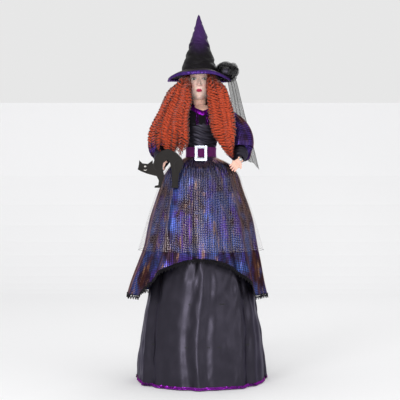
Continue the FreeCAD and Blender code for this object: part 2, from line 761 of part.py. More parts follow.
def arch(extra):
    """The round arch of the overskirt's front hem, lying along Y, grown by the given height."""
    centre = "waist_height - arch_drop - arch_radius"
    return cylinder(f"arch_radius + {extra}", FAR, "0", f"-{FAR}", centre, ALONG_Y)


def make_skirts():
    outline = [("under_waist_radius", SKIRT_TOP)]
    for level in ("hip",) + RING_LEVELS:
        outline.append((f"under_{level}_radius", f"waist_height - level_{level}"))
    outline.append(("under_hem_radius", "hem_height"))
    keep("underskirt", cut(turned_shell("underskirt_shell", outline, "skirt_wall"), buckle_room()))

    shell = turned_shell("overskirt_shell", over_outline("0"), "cloth_wall")
    keep("overskirt", cut(shell, arch("0"), buckle_room()))

    band = turned_shell("lace_shell", over_outline("lace_gap + cloth_wall"), "cloth_wall")
    hem_zone = fuse(arch("lace_height"), cylinder(FAR, "lace_height", z="waist_height - over_length"))
    keep("lace_trim", cut(common(band, hem_zone), arch("0")))

    net = [(f"{radius} + net_gap + cloth_wall", height) for radius, height in over_outline("0")[:4]]
    net.append(("net_knee_radius", "waist_height - over_level_knee"))
    net.append(("net_hem_radius", "waist_height - over_level_flare"))
    keep("net_overskirt", cut(turned_shell("net_shell", net, "cloth_wall"), buckle_room()))


def chest_at_belt(size):
    return f"(waist_half_{size} + (ribs_half_{size} - waist_half_{size}) * belt_width / ribs_rise)"


def buckle_back():
    return f"({chest_at_belt('depth')} + cloth_gap + bodice_wall + belt_gap + belt_thickness)"


def belt_sections(extra):
    top = "waist_height + belt_width"
    return (
        ("waist_height", f"waist_half_width + {extra}", f"waist_half_depth + {extra}", "0"),
        (top, f"{chest_at_belt('width')} + {extra}", f"{chest_at_belt('depth')} + {extra}", "0"),
    )


def make_belt():
    inner = "cloth_gap + bodice_wall + belt_gap"
    keep("belt", cut(loft(belt_sections(f"{inner} + belt_thickness")), loft(belt_sections(inner))))

    half = "(buckle_width / 2)"
    frame = new_body("buckle")
    for inset, make in (("0", pad), ("buckle_rim", pocket)):
        sketch = new_sketch(frame, "XZ_Plane")
        u = f"{half} - {inset}"
        corners = [(f"-({u})", inset), (u, inset), (u, f"buckle_height - {inset}"),
                   (f"-({u})", f"buckle_height - {inset}")]
        draw_polygon(sketch, corners)
        if make is pad:
            pad(frame, sketch, "buckle_thickness")
        else:
            pocket(frame, sketch)
    keep("buckle", place(frame, y=f"-{buckle_back()}", z="waist_height - buckle_drop"))


# ---------------------------------------------------------------- chest and chassis

CHEST_LEVELS = ("waist", "ribs", "bust", "shoulder", "slope", "neck")
ARM_Z = "(waist_height + arm_shaft_rise)"
ELBOW_Z = "(waist_height + elbow_rise)"
ARM_GEARS_APART = "(gear_module * (arm_gear_teeth + arm_pinion_teeth) / 2)"
HEAD_GEARS_APART = "(gear_module * (head_gear_teeth + head_pinion_teeth) / 2)"
ARM_MOTOR_BOTTOM = f"({ARM_Z} - {ARM_GEARS_APART} - motor_depth / 2)"
CHASSIS_TOP = f"({CHASSIS_FLOOR} + chassis_height)"
HEAD_GEAR_Z = "(waist_height + head_gear_rise)"
BUSH_RADIUS = "(arm_shaft_radius + bush_wall)"
NECK_BUSH_RADIUS = "(neck_shaft_radius + bush_wall)"


def chest_sections(levels, extra):
    sections = []
    for level in levels:
        rise = "0" if level == "waist" else f"{level}_rise"
        width = f"{level}_half_width + {extra}"
        sections.append((f"waist_height + {rise}", width, f"{level}_half_depth + {extra}", "0"))
    return sections


def arm_openings(gap):
    """Rods that clear the arm shaft and both upper arms through the clothes and the chest."""
    shaft = cylinder(f"arm_shaft_radius + {gap}", FAR, f"-{FAR} / 2", "0", ARM_Z, ALONG_X)
    left = rod(f"upper_arm_radius + {gap}", *upper_arm_line())
    return [shaft, left, mirrored(left)]


def upper_arm_line():
    y = "-upper_arm_front"
    root = ("chassis_half_width", y, "waist_height + upper_arm_rise")
    end = ("elbow_block_offset + elbow_block_width / 2", y, f"{ELBOW_Z} + elbow_block_above / 2")
    return root, end


def make_chest():
    outside = loft(chest_sections(CHEST_LEVELS, "0"))
    inside = loft(chest_sections(CHEST_LEVELS, "(-chest_wall)"))
    web_zone = cylinder(FAR, "web_thickness", z="waist_height")
    shell = cut(outside, cut(inside, web_zone), cylinder("post_radius", FAR), *arm_openings("shell_hole_gap"))
    halves = (("chest_front_shell", (f"-{FAR}", "0")), ("chest_back_shell", ("0", FAR)))
    for name, span in halves:
        half_space = box((f"-{FAR}", FAR), span, ("0", f"2 * {FAR}"))
        keep(name, common(shell, half_space))

    outer = loft(chest_sections(CHEST_LEVELS[:-1], "cloth_gap + bodice_wall"))
    inner = loft(chest_sections(CHEST_LEVELS[:-1], "cloth_gap"))
    keep("bodice", cut(outer, inner, *arm_openings("shell_hole_gap + cloth_gap")))

    gap = "(cloth_gap + bodice_wall + collar_gap)"
    outer = loft(chest_sections(CHEST_LEVELS[-2:], f"{gap} + collar_wall"))
    keep("collar", cut(outer, loft(chest_sections(CHEST_LEVELS[-2:], gap))))


def make_chassis():
    sheet_in = "(chassis_half_width - chassis_sheet)"
    outer = box(("-chassis_half_width", "chassis_half_width"),
                ("-chassis_half_depth", "chassis_half_depth"), (CHASSIS_FLOOR, CHASSIS_TOP))
    inner = box((f"-{sheet_in}", sheet_in), ("-chassis_half_depth - 1", "chassis_half_depth + 1"),
                (f"{CHASSIS_FLOOR} + chassis_sheet", f"{CHASSIS_TOP} - chassis_sheet"))
    back = box(("-back_wall_half_width", "back_wall_half_width"),
               ("chassis_half_depth - chassis_sheet", "chassis_half_depth"),
               (CHASSIS_FLOOR, f"{CHASSIS_FLOOR} + back_wall_height"))
    sleeve = cylinder(SOCKET_RADIUS, "sleeve_depth", z=f"{CHASSIS_FLOOR} - sleeve_depth")
    post_hole = cylinder("post_radius", "sleeve_depth", z=f"{CHASSIS_FLOOR} - sleeve_depth")
    saddle = box(("arm_gear_offset - motor_gap - motor_length", "arm_gear_offset - motor_gap - motor_width"),
                 ("-motor_width / 2", "motor_width / 2"), (CHASSIS_FLOOR, ARM_MOTOR_BOTTOM))
    loom_hole = cylinder("loom_radius + loom_gap", "2 * chassis_sheet", z=f"{CHASSIS_FLOOR} - chassis_sheet")
    shaft_holes = cylinder(BUSH_RADIUS, FAR, f"-{FAR} / 2", "0", ARM_Z, ALONG_X)
    neck_hole = cylinder(NECK_BUSH_RADIUS, "2 * chassis_sheet", z=f"{CHASSIS_TOP} - 1.5 * chassis_sheet")
    frame = fuse(cut(outer, inner, shaft_holes), back, sleeve, saddle)
    keep("chassis", cut(frame, post_hole, loom_hole, neck_hole))

    bushes = []
    for middle in (f"({sheet_in} + chassis_sheet / 2)", f"(-{sheet_in} - chassis_sheet / 2)"):
        start = f"{middle} - bush_length / 2"
        outside = cylinder(BUSH_RADIUS, "bush_length", start, "0", ARM_Z, ALONG_X)
        bore = cylinder("arm_shaft_radius + running_clearance", "bush_length", start, "0", ARM_Z, ALONG_X)
        bushes.append(cut(outside, bore))
    start = f"{CHASSIS_TOP} - chassis_sheet / 2 - bush_length / 2"
    outside = cylinder(NECK_BUSH_RADIUS, "bush_length", z=start)
    bore = cylinder("neck_shaft_radius + running_clearance", "bush_length", z=start)
    bushes.append(cut(outside, bore))
    keep("shaft_bushes", group(*bushes))


def make_gearmotors():
    case_top = f"({HEAD_GEAR_Z} - motor_gap)"
    case = box(("-motor_width / 2", "motor_width / 2"),
               ("chassis_half_depth", "chassis_half_depth + motor_depth"),
               (f"{case_top} - motor_length", case_top))
    shaft = cylinder("motor_shaft_radius", "gear_width + motor_gap", "0", HEAD_GEARS_APART, case_top)
    keep("head_gearmotor", fuse(case, shaft))

    case_end = "(arm_gear_offset - motor_gap)"
    pinion_z = f"({ARM_Z} - {ARM_GEARS_APART})"
    case = box((f"{case_end} - motor_length", case_end), ("-motor_width / 2", "motor_width / 2"),
               (ARM_MOTOR_BOTTOM, f"{ARM_MOTOR_BOTTOM} + motor_depth"))
    shaft = cylinder("motor_shaft_radius", "gear_width + motor_gap", case_end, "0", pinion_z, ALONG_X)
    keep("arm_gearmotor", fuse(case, shaft))


# ---------------------------------------------------------------- gears, shafts and arm linkage

def tooth_corners(teeth):
    """One thinned involute tooth along +X, as (x, y) from its root round its tip."""
    module = value("gear_module")
    pitch = module * teeth / 2
    base = pitch * math.cos(GEAR_ANGLE)
    tip = pitch + module * value("gear_addendum")
    root = pitch - module * value("gear_dedendum")
    involute = math.tan(GEAR_ANGLE) - GEAR_ANGLE
    half_tooth = math.pi / (2 * teeth) - value("gear_backlash") / (2 * pitch) + involute
    low = max(root, base)
    flank = []
    for step in range(FLANK_STEPS + 1):
        radius = low + (tip - low) * step / FLANK_STEPS
        roll = math.acos(base / radius)
        flank.append((radius, half_tooth - (math.tan(roll) - roll)))
    flank.insert(0, (root - module / 2, flank[0][1]))
    sides = flank + [(radius, -angle) for radius, angle in reversed(flank)]
    return [(radius * math.cos(angle), radius * math.sin(angle)) for radius, angle in sides]


def gear_body(name, teeth_cell, bore):
    teeth = int(value(teeth_cell))
    body = disc_body(name, f"gear_module * ({teeth_cell} / 2 - gear_dedendum)", "gear_width")
    sketch = new_sketch(body, "XY_Plane")
    draw_polygon(sketch, tooth_corners(teeth))
    tooth = pad(body, sketch, "gear_width")
    pattern_round(body, tooth, teeth_cell)
    sketch = new_sketch(body, "XY_Plane")
    draw_circle(sketch, bore)
    pocket(body, sketch)
    return body


def make_gears():
    facing = FreeCAD.Rotation(Vector(0, 0, 1), 90)
    gear = gear_body("head_gear", "head_gear_teeth", "neck_shaft_radius")
    keep("head_gear", place(gear, z=HEAD_GEAR_Z, rotation=facing))
    half_pitch = 180 / value("head_pinion_teeth")
    meshed = FreeCAD.Rotation(Vector(0, 0, 1), 270 + half_pitch)
    running = "motor_shaft_radius + running_clearance"
    pinion = gear_body("head_pinion", "head_pinion_teeth", running)
    keep("head_pinion", place(pinion, y=HEAD_GEARS_APART, z=HEAD_GEAR_Z, rotation=meshed))

    gear = gear_body("arm_gear", "arm_gear_teeth", "arm_shaft_radius")
    keep("arm_gear", place(gear, x="arm_gear_offset", z=ARM_Z, rotation=ALONG_X))
    half_pitch = 180 / value("arm_pinion_teeth")
    meshed = ALONG_X.multiply(FreeCAD.Rotation(Vector(0, 0, 1), 180 + half_pitch))
    pinion = gear_body("arm_pinion", "arm_pinion_teeth", running)
    keep("arm_pinion", place(pinion, x="arm_gear_offset", z=f"{ARM_Z} - {ARM_GEARS_APART}", rotation=meshed))


def lever(middle_z, bore):
    """A crank along +Y from an axis at middle_z, with its pin pointing outwards."""
    start, stop = "crank_offset", "crank_offset + crank_thickness"
    plate = box((start, stop), ("0", "crank_radius"),
                (f"{middle_z} - crank_half_width", f"{middle_z} + crank_half_width"))
    ends = [cylinder("crank_half_width", "crank_thickness", start, y, middle_z, ALONG_X)
            for y in ("0", "crank_radius")]
    pin = cylinder("link_pin_radius", "crank_thickness + rod_gap + rod_thickness + 1",
                   start, "crank_radius", middle_z, ALONG_X)
    hole = cylinder(bore, "crank_thickness", start, "0", middle_z, ALONG_X)
    return cut(fuse(plate, *ends, pin), hole)


def make_arm_drive():
    shaft_end = "(crank_offset + crank_thickness)"
    keep("arm_shaft", cylinder("arm_shaft_radius", f"2 * {shaft_end}", f"-{shaft_end}", "0", ARM_Z, ALONG_X))
    crank = lever(ARM_Z, "arm_shaft_radius")
    keep("arm_cranks", group(crank, mirrored(crank)))

    start = "(crank_offset + crank_thickness + rod_gap)"
    strip = box((start, f"{start} + rod_thickness"),
                ("crank_radius - rod_half_width", "crank_radius + rod_half_width"), (ELBOW_Z, ARM_Z))
    ends = [cylinder("rod_half_width", "rod_thickness", start, "crank_radius", z, ALONG_X)
            for z in (ELBOW_Z, ARM_Z)]
    eyes = [cylinder(f"link_pin_radius + {play}", "rod_thickness", start, "crank_radius", z, ALONG_X)
            for play, z in (("rod_slack", ELBOW_Z), ("running_clearance", ARM_Z))]
    push_rod = cut(fuse(strip, *ends), *eyes)
    keep("pushrod_left", push_rod)
    keep("pushrod_right", mirrored(push_rod))


def make_upper_arms():
    root, end = upper_arm_line()
    tube = rod("upper_arm_radius", root, end)
    foot = box(("chassis_half_width", "chassis_half_width + arm_foot_thickness"),
               ("-upper_arm_front - arm_foot_half", "-upper_arm_front + arm_foot_half"),
               ("waist_height + upper_arm_rise - arm_foot_height",
                "waist_height + upper_arm_rise + arm_foot_height"))
    room = box(("0", "chassis_half_width"), (f"-{FAR}", FAR), ("0", f"2 * {FAR}"))
    left = cut(fuse(tube, foot), room)
    keep("upper_arms", group(left, mirrored(left)))

    pin = cylinder("elbow_pin_radius", "elbow_block_offset + elbow_block_width - crank_offset + 1",
                   "crank_offset - 1", "0", ELBOW_Z, ALONG_X)
    head = cylinder("elbow_pin_head", "elbow_pin_head_height",
                    "crank_offset - 1 - elbow_pin_head_height", "0", ELBOW_Z, ALONG_X)
    elbow_pin = fuse(pin, head)
    keep("elbow_pins", group(elbow_pin, mirrored(elbow_pin)))

    block = box(("elbow_block_offset", "elbow_block_offset + elbow_block_width"),
                ("-elbow_block_front", "elbow_block_back"),
                (f"{ELBOW_Z} - elbow_block_below", f"{ELBOW_Z} + elbow_block_above"))
    pin_hole = cylinder("elbow_pin_radius", "elbow_block_width", "elbow_block_offset", "0", ELBOW_Z, ALONG_X)
    drilled = cut(block, pin_hole, rod("upper_arm_radius", root, end))
    keep("elbow_blocks", group(drilled, mirrored(drilled)))


def wrist(side, reach_back="0"):
    """A wrist's point, moved back along its forearm by a distance."""
    reach, drop = f"{side}_wrist_reach", f"{side}_wrist_drop"
    length = f"sqrt(pow({reach}; 2) + pow({drop}; 2))"
    share = f"(1 - ({reach_back}) / {length})"
    return "forearm_offset", f"-{reach} * {share}", f"{ELBOW_Z} - {drop} * {share}"


def elbow_end(side, distance):
    """The point on a forearm at a distance from its elbow."""
    reach, drop = f"{side}_wrist_reach", f"{side}_wrist_drop"
    share = f"(({distance}) / sqrt(pow({reach}; 2) + pow({drop}; 2)))"
    return "forearm_offset", f"-{reach} * {share}", f"{ELBOW_Z} - {drop} * {share}"


def wrist_ball(side):
    ball = document.addObject("Part::Sphere", "wrist_ball")
    bind(ball, Radius="forearm_radius + cuff_wall")
    return place(ball, *wrist(side))


def make_forearm(side):
    hub_length = "forearm_offset + forearm_radius - crank_offset + 1"
    hub = cylinder("elbow_hub_radius", hub_length, "crank_offset", "0", ELBOW_Z, ALONG_X)
    bore = cylinder("elbow_pin_radius + running_clearance", hub_length,
                    "crank_offset", "0", ELBOW_Z, ALONG_X)
    tube = rod("forearm_radius", elbow_end(side, "0"), wrist(side))
    arm = cut(fuse(hub, tube, wrist_ball(side), lever(ELBOW_Z, "elbow_pin_radius")), bore)

    start, end = elbow_end(side, "cuff_start"), wrist(side, "cuff_end")
    outside = cone_between(start, end, "cuff_top_radius", "cuff_wrist_radius")
    inside = cone_between(start, end, "cuff_top_radius - cuff_wall", "cuff_wrist_radius - cuff_wall")
    end_wall = rod("cuff_wrist_radius", wrist(side, "cuff_end + cuff_wall"), end)
    end_hole = rod("forearm_radius", wrist(side, "cuff_end + cuff_wall + 1"), wrist(side, "cuff_end - 1"))
    cuff = fuse(cut(outside, inside), cut(end_wall, end_hole))
    if side == "right":
        arm, cuff = mirrored(arm), mirrored(cuff)
    keep(f"forearm_{side}", arm)
    keep(f"cuff_{side}", cuff)


def cone_between(start, end, first_radius, last_radius):
    first = Vector(*[value(formula) for formula in start])
    last = Vector(*[value(formula) for formula in end])
    item = document.addObject("Part::Cone", "cone")
    bind(item, Radius1=first_radius, Radius2=last_radius)
    item.Height = (last - first).Length
    return place(item, *start, FreeCAD.Rotation(Vector(0, 0, 1), last - first))


def make_hand(side, along, across):
    """A hand from the wrist: palm, four fingers and a thumb, laid along one way and across another."""
    half = "(palm_width / 2)"
    palm = box((f"-{half}", half), ("-palm_thickness / 2", "palm_thickness / 2"), ("0", "palm_length"))
    pieces = [palm]
    for index, share in enumerate((0.86, 1, 0.94, 0.74)):
        x = f"-{half} + finger_radius + (palm_width - 2 * finger_radius) / 3 * {index}"
        length = f"finger_length * {share} + finger_radius"
        pieces.append(cylinder("finger_radius", length, x, "0", "palm_length - finger_radius"))
    thumb_turn = FreeCAD.Rotation(Vector(0, 1, 0), -40)
    pieces.append(cylinder("finger_radius", "thumb_length", f"-{half} + finger_radius", "0",
                           "finger_radius * 2", thumb_turn))
    rotation = FreeCAD.Rotation(Vector(*across), Vector(), Vector(*along), "ZXY")
    x, y, z = wrist(side)
    hand = place(fuse(*pieces), x, y if side == "left" else f"{y} - palm_thickness / 2", z, rotation)
    arm_end = rod("cuff_wrist_radius + cloth_gap", elbow_end(side, "0"), wrist(side))
    hand = cut(hand, wrist_ball(side), arm_end)
    keep(f"hand_{side}", mirrored(hand) if side == "right" else hand)


# ---------------------------------------------------------------- sleeves

SLEEVE_SECTIONS = (
    # rise above the waist, half width, half depth, middle of the ring
    (110, 13, 14, 72),
    (94, 24, 28, 81),
    (60, 34, 34, 93),
    (42, 36, 34, 97),
)


def sleeve_loft(extra):
    sections = [(f"waist_height + {rise}", f"{half_width} + {extra}", f"{half_depth} + {extra}", middle)
                for rise, half_width, half_depth, middle in SLEEVE_SECTIONS]
    return loft(sections)


def make_sleeves():
    armhole = cylinder("armhole_radius", "forearm_offset - bust_half_width", "bust_half_width",
                       "-upper_arm_front / 2", ARM_Z, ALONG_X)
    inside = sleeve_loft("(-sleeve_wall)")
    top = box(("0", FAR), (f"-{FAR}", FAR),
              (f"waist_height + {SLEEVE_SECTIONS[0][0]} - sleeve_wall", f"2 * {FAR}"))
    left = cut(sleeve_loft("0"), cut(inside, top), armhole)
    keep("sleeve_left", left)
    keep("sleeve_right", mirrored(left))


# ---------------------------------------------------------------- cat cut-out

# Outline of the sitting, arch-backed cat as shares of its height: across from the nose, up from the paws.
CAT_OUTLINE = (
    (0.03, 0.585), (0.04, 0.705), (0.12, 0.625), (0.26, 0.61), (0.38, 0.705), (0.39, 0.60),
    (0.465, 0.82), (0.595, 0.935), (0.775, 1.00), (0.995, 0.895), (1.125, 0.76), (1.17, 0.63),
    (1.125, 0.495), (1.06, 0.36), (1.02, 0.10), (1.04, 0.00), (0.86, 0.00), (0.88, 0.12),
    (0.86, 0.45), (0.825, 0.63), (0.75, 0.715), (0.65, 0.63), (0.63, 0.495), (0.685, 0.32),
    (0.63, 0.12), (0.585, 0.00), (0.43, 0.00), (0.44, 0.05), (0.525, 0.07), (0.54, 0.185),
    (0.485, 0.295), (0.24, 0.36), (0.085, 0.42), (0.00, 0.47),
)


def make_cat_board():
    board = new_body("cat_board")
    sketch = new_sketch(board, "XZ_Plane")
    corners = [(f"cat_height * {across}", f"cat_height * {up}") for across, up in CAT_OUTLINE]
    draw_polygon(sketch, corners)
    pad(board, sketch, "cat_thickness")
    keep("cat_board", place(board, "-cat_offset", "-right_wrist_reach - palm_thickness",
                            "waist_height - cat_drop"))


# ---------------------------------------------------------------- head and wig

HEAD_Z = "(waist_height + head_rise)"
NECK_BOTTOM = "(waist_height + neck_bottom_rise)"


def make_head():
    shell = ellipsoid("head_half_width", "head_half_depth", "head_half_height", z=HEAD_Z)
    hollow = ellipsoid("head_half_width - head_wall", "head_half_depth - head_wall",
                       "head_half_height - head_wall", z=HEAD_Z)
    neck = cylinder("neck_radius", f"{HEAD_Z} - {NECK_BOTTOM}", z=NECK_BOTTOM)
    bore = cylinder("neck_radius - head_wall", f"{HEAD_Z} - {NECK_BOTTOM}", z=NECK_BOTTOM)
    nose = ellipsoid("nose_radius", "nose_radius + nose_stand", "nose_radius * 2",
                     "0", "-head_half_depth + nose_radius", HEAD_Z)
    plug = cylinder("neck_radius - head_wall", "neck_plug_height", z="waist_height + neck_plug_rise")
    plug_hole = cylinder("neck_shaft_radius", "neck_plug_height", z="waist_height + neck_plug_rise")
    keep("head_shell", fuse(cut(fuse(shell, neck, nose), hollow, bore), cut(plug, plug_hole)))
    keep("neck_shaft", cylinder("neck_shaft_radius", "neck_shaft_length",
                                z=f"{HEAD_GEAR_Z} - neck_shaft_drop"))

    low, high = "(waist_height + wig_bottom_rise)", "(waist_height + wig_top_rise)"
    hair = cylinder("wig_radius", f"{high} - {low}", z=low)
    scalp = ellipsoid("head_half_width + wig_gap", "head_half_depth + wig_gap",
                      "head_half_height + wig_gap", z=HEAD_Z)
    throat = cylinder("neck_radius + wig_gap", f"{high} - {low}", z=low)
    face = box(("-face_half_width", "face_half_width"), ("-wig_radius - 1", "0"),
               (f"{low} - 1", f"{high} + 1"))
    keep("wig_crown", cut(hair, scalp, throat, face))


def slab(name, corners, low_y, thickness):
    """A flat soft piece: corners are (x, rise above the waist), low_y is its front face."""
    body = new_body(name)
    sketch = new_sketch(body, "XZ_Plane")
    draw_polygon(sketch, corners)
    pad(body, sketch, thickness)
    return keep(name, place(body, y=f"{low_y} + {thickness}", z="waist_height"))


def make_locks():
    left = (("-26", "locks_rise"), ("-66", "locks_rise"), ("-82", "148"), ("-111", "95"),
            ("-127", "40"), ("-110", "32"), ("-60", "32"), ("-33", "44"), ("-34", "105"), ("-24", "139"))
    right = (("19", "locks_rise"), ("57", "locks_rise"), ("66", "139"), ("76", "105"),
             ("82", "64"), ("78", "34"), ("56", "34"), ("32", "54"), ("22", "105"), ("21", "139"))
    back = (("-66", "locks_rise"), ("44", "locks_rise"), ("46", "90"), ("30", "44"),
            ("-60", "44"), ("-78", "90"))
    slab("wig_locks_right", left, "-locks_front - locks_thickness", "locks_thickness")
    slab("wig_locks_left", right, "-locks_front - locks_thickness", "locks_thickness")
    slab("wig_locks_back", back, "locks_back", "locks_thickness")


# ---------------------------------------------------------------- hat and veil

HAT_Z = "(waist_height + hat_rise)"
CONE_PROFILE = (
    # share of the hat's height, share of the way from the tip radius to the base radius
    (0.00, 1.00), (0.11, 0.93), (0.28, 0.76), (0.45, 0.52), (0.60, 0.42), (0.78, 0.20), (0.93, 0.05), (1.00, 0.00),
)


def hat_outline(extra):
    outline = []
    for up, out in CONE_PROFILE:
        radius = f"hat_tip_radius + (hat_base_radius - hat_tip_radius) * {out} + {extra}"
        outline.append((radius, f"{HAT_Z} + hat_height * {up}"))
    return outline


def filled(name, outline):
    return turned(name, outline + [("0", outline[-1][1]), ("0", outline[0][1])])


def bent_sheet(top_gap, thickness):
    """A sheet bent round an axis along Y, as the brim is, lying below the brim's top."""
    centre = "waist_height + brim_rise - brim_bend"
    outside = cylinder(f"brim_bend - {top_gap}", FAR, "0", f"-{FAR} / 2", centre, ALONG_Y)
    inside = cylinder(f"brim_bend - {top_gap} - {thickness}", FAR, "0", f"-{FAR} / 2", centre, ALONG_Y)
    upper_half = cylinder("brim_bend", FAR, z=centre)
    return common(cut(outside, inside), upper_half)


def ring_column(inner, outer):
    low = "waist_height + brim_rise - brim_bend"
    return cut(cylinder(outer, FAR, z=low), cylinder(inner, FAR, z=low))


def make_hat():
    outline = hat_outline("0")
    inner = [(f"{radius} - hat_wall", height) for radius, height in outline[:-2]]
    keep("hat_cone", cut(filled("hat_solid", outline), filled("hat_room", inner)))

    felt = common(bent_sheet("0", "brim_thickness"), ring_column("hat_base_radius", "brim_radius"))
    keep("hat_brim", felt)
    proud = "((brim_thickness - binding_thickness) / 2)"
    edge = ring_column("brim_radius", "brim_radius + binding_width")
    keep("hat_binding", common(bent_sheet(proud, "binding_thickness"), edge))

    puff = ellipsoid("rosette_half_width", "rosette_half_depth", "rosette_half_height",
                     "rosette_offset", "-rosette_front", "waist_height + rosette_rise")
    centre = "waist_height + brim_rise - brim_bend"
    under = cylinder(f"brim_bend - {proud} + rosette_gap", FAR, "0", f"-{FAR} / 2", centre, ALONG_Y)
    keep("hat_rosette", cut(puff, under, filled("hat_room_outside", hat_outline("rosette_gap"))))


def make_veil():
    ring = document.addObject("Part::Cylinder", "veil_sector")
    high, low = "(waist_height + veil_top_rise)", "(waist_height + veil_split_rise)"
    bind(ring, Radius="veil_radius + veil_thickness", Height=f"{high} - {low}", Angle="veil_angle")
    place(ring, z=low)
    keep("veil_upper", cut(ring, cylinder("veil_radius", f"{high} - {low}", z=low)))
    fall = (("50", "veil_split_rise - veil_gap"), ("92", "veil_split_rise - veil_gap"),
            ("120", "60"), ("149", "-34"), ("138", "-30"), ("80", "10"), ("56", "60"))
    slab("veil_lower", fall, "veil_back", "veil_thickness")


# ---------------------------------------------------------------- the whole figure

def check_and_write():
    document.recompute()
    for item in document.Objects:
        if {"Invalid", "Error"} & set(item.State):
            raise RuntimeError(f"{item.Label} ({item.Name}) failed: {item.State}")
    os.makedirs("parts", exist_ok=True)
    for label, item in sub_parts.items():
        shape = item.Shape
        if shape.isNull() or not shape.isValid() or not shape.Solids:
            raise RuntimeError(f"{label} has no valid solid")
        shape.exportStep(f"parts/{label}.step")
        print(f"{label}: {len(shape.Solids)} solid(s), {shape.Volume / 1000:.2f} cm3")
    print(f"{len(sub_parts)} sub-parts")


make_base()
make_post()
make_control_box()
make_battery_door()
make_electrics()
make_wiring_loom()
make_hoops()
make_skirts()
make_belt()
make_chest()
make_chassis()
make_gearmotors()
make_gears()
make_arm_drive()
make_upper_arms()
for arm_side in ("left", "right"):
    make_forearm(arm_side)
make_hand("left", along=(-0.45, -0.35, -0.75), across=(0.8, -0.3, -0.3))
make_hand("right", along=(-0.1, 0, 1), across=(1, 0, 0.1))
make_sleeves()
make_cat_board()
make_head()
make_locks()
make_hat()
make_veil()
check_and_write()
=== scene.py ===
"""Looks of the animated witch figure: cloth, hair, skin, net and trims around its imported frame.

Lengths inside the classes are millimetres in the figure's own frame, and Piece turns them into
metres. The studio's are metres. The belt, the buckle's stones and the cat's marks take their
places from the boxes of frame pieces, and the other places are written out here.
"""

import enum
import json
import logging
import math
from collections.abc import Sequence
from dataclasses import dataclass, field

import bmesh
import bpy
import numpy as np
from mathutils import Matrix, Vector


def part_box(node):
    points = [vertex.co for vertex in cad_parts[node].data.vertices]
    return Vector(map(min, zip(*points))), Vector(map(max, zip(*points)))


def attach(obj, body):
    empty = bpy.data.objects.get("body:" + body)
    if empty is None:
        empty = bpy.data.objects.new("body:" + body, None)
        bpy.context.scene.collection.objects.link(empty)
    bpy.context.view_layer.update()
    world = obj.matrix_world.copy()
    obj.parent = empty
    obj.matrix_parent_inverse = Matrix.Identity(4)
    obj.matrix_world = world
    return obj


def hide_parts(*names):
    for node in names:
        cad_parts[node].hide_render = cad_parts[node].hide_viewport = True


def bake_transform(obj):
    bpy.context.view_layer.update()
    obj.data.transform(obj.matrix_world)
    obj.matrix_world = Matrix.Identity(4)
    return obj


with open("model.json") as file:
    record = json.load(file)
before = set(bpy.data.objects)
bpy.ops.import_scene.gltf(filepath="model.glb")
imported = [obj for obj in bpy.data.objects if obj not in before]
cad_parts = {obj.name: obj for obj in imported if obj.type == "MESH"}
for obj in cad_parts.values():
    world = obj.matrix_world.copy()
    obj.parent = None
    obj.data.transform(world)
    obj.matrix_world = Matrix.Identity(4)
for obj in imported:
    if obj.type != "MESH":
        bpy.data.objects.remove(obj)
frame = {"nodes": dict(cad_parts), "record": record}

log = logging.getLogger("witch_figure")

MM = 0.001
TURN = 2 * math.pi
FIGURE = "figure"
HEAD = "head"

Array = np.ndarray
Item = bpy.types.Object
Material = bpy.types.Material
Socket = bpy.types.NodeSocket
Tree = bpy.types.NodeTree
Pair = tuple[float, float]
Triple = tuple[float, float, float]
Knots = tuple[tuple[float, float], ...]


# ------------------------------------------------------------------ numbers and grids

def smooth(low: float, high: float, x: Array) -> Array:
    """A soft step: 0 below low, 1 above high, and 3k^2 - 2k^3 between.

    Args:
        low: where the step starts.
        high: where it ends.
        x: the values.

    Returns:
        The step at each value.
    """
    k = np.clip((x - low) / (high - low), 0, 1)
    return k * k * (3 - 2 * k)


def bump(x: Array, z: Array, place: Pair, spread: Pair) -> Array:
    """A Gaussian hill: exp of minus the squared distances over the squared spreads.

    Args:
        x: across.
        z: up.
        place: the hill's top.
        spread: its half widths across and up.

    Returns:
        The hill's height, 1 at its top.
    """
    return np.exp(-((x - place[0]) / spread[0]) ** 2 - ((z - place[1]) / spread[1]) ** 2)


def profile(knots: Sequence[Pair], x: Array) -> Array:
    """A smooth line through knots: cubic Hermite pieces whose slopes are the knots' mean slopes.

    Args:
        knots: (position, value) pairs in rising order of position.
        x: where the line is read.

    Returns:
        The line's value at each x.
    """
    at, values = np.array(knots, float).T
    slopes = np.gradient(values, at)
    x = np.clip(x, at[0], at[-1])
    index = np.clip(np.searchsorted(at, x) - 1, 0, len(at) - 2)
    span = at[index + 1] - at[index]
    k = (x - at[index]) / span
    start = (1 + 2 * k) * (1 - k) ** 2 * values[index] + k * (1 - k) ** 2 * span * slopes[index]
    end = k * k * (3 - 2 * k) * values[index + 1] + k * k * (k - 1) * span * slopes[index + 1]
    return start + end


def waves(angle: Array, counts: Sequence[int], seed: int) -> Array:
    """Uneven folds: a sum of cosines round the turn, each with a random phase and size.

    Args:
        angle: angle round the piece, in radians.
        counts: how many folds each cosine makes in a turn.
        seed: seed of the phases and sizes.

    Returns:
        The folds, from about -1 to 1.
    """
    rng = np.random.default_rng(seed)
    total = np.zeros_like(angle)
    sizes = rng.uniform(0.5, 1.0, len(counts))
    for count, size, phase in zip(counts, sizes, rng.uniform(0, TURN, len(counts))):
        total = total + size * np.cos(count * angle + phase)
    return total / sizes.sum() * 1.4


def full_turn(count: int) -> Array:
    """Equal steps of angle round a full turn, from 0 up to the last before it."""
    return np.arange(count) / count * TURN


def unit(vectors: Array) -> Array:
    """Vectors of shape (..., 3) brought to length 1."""
    return vectors / np.linalg.norm(vectors, axis=-1, keepdims=True)


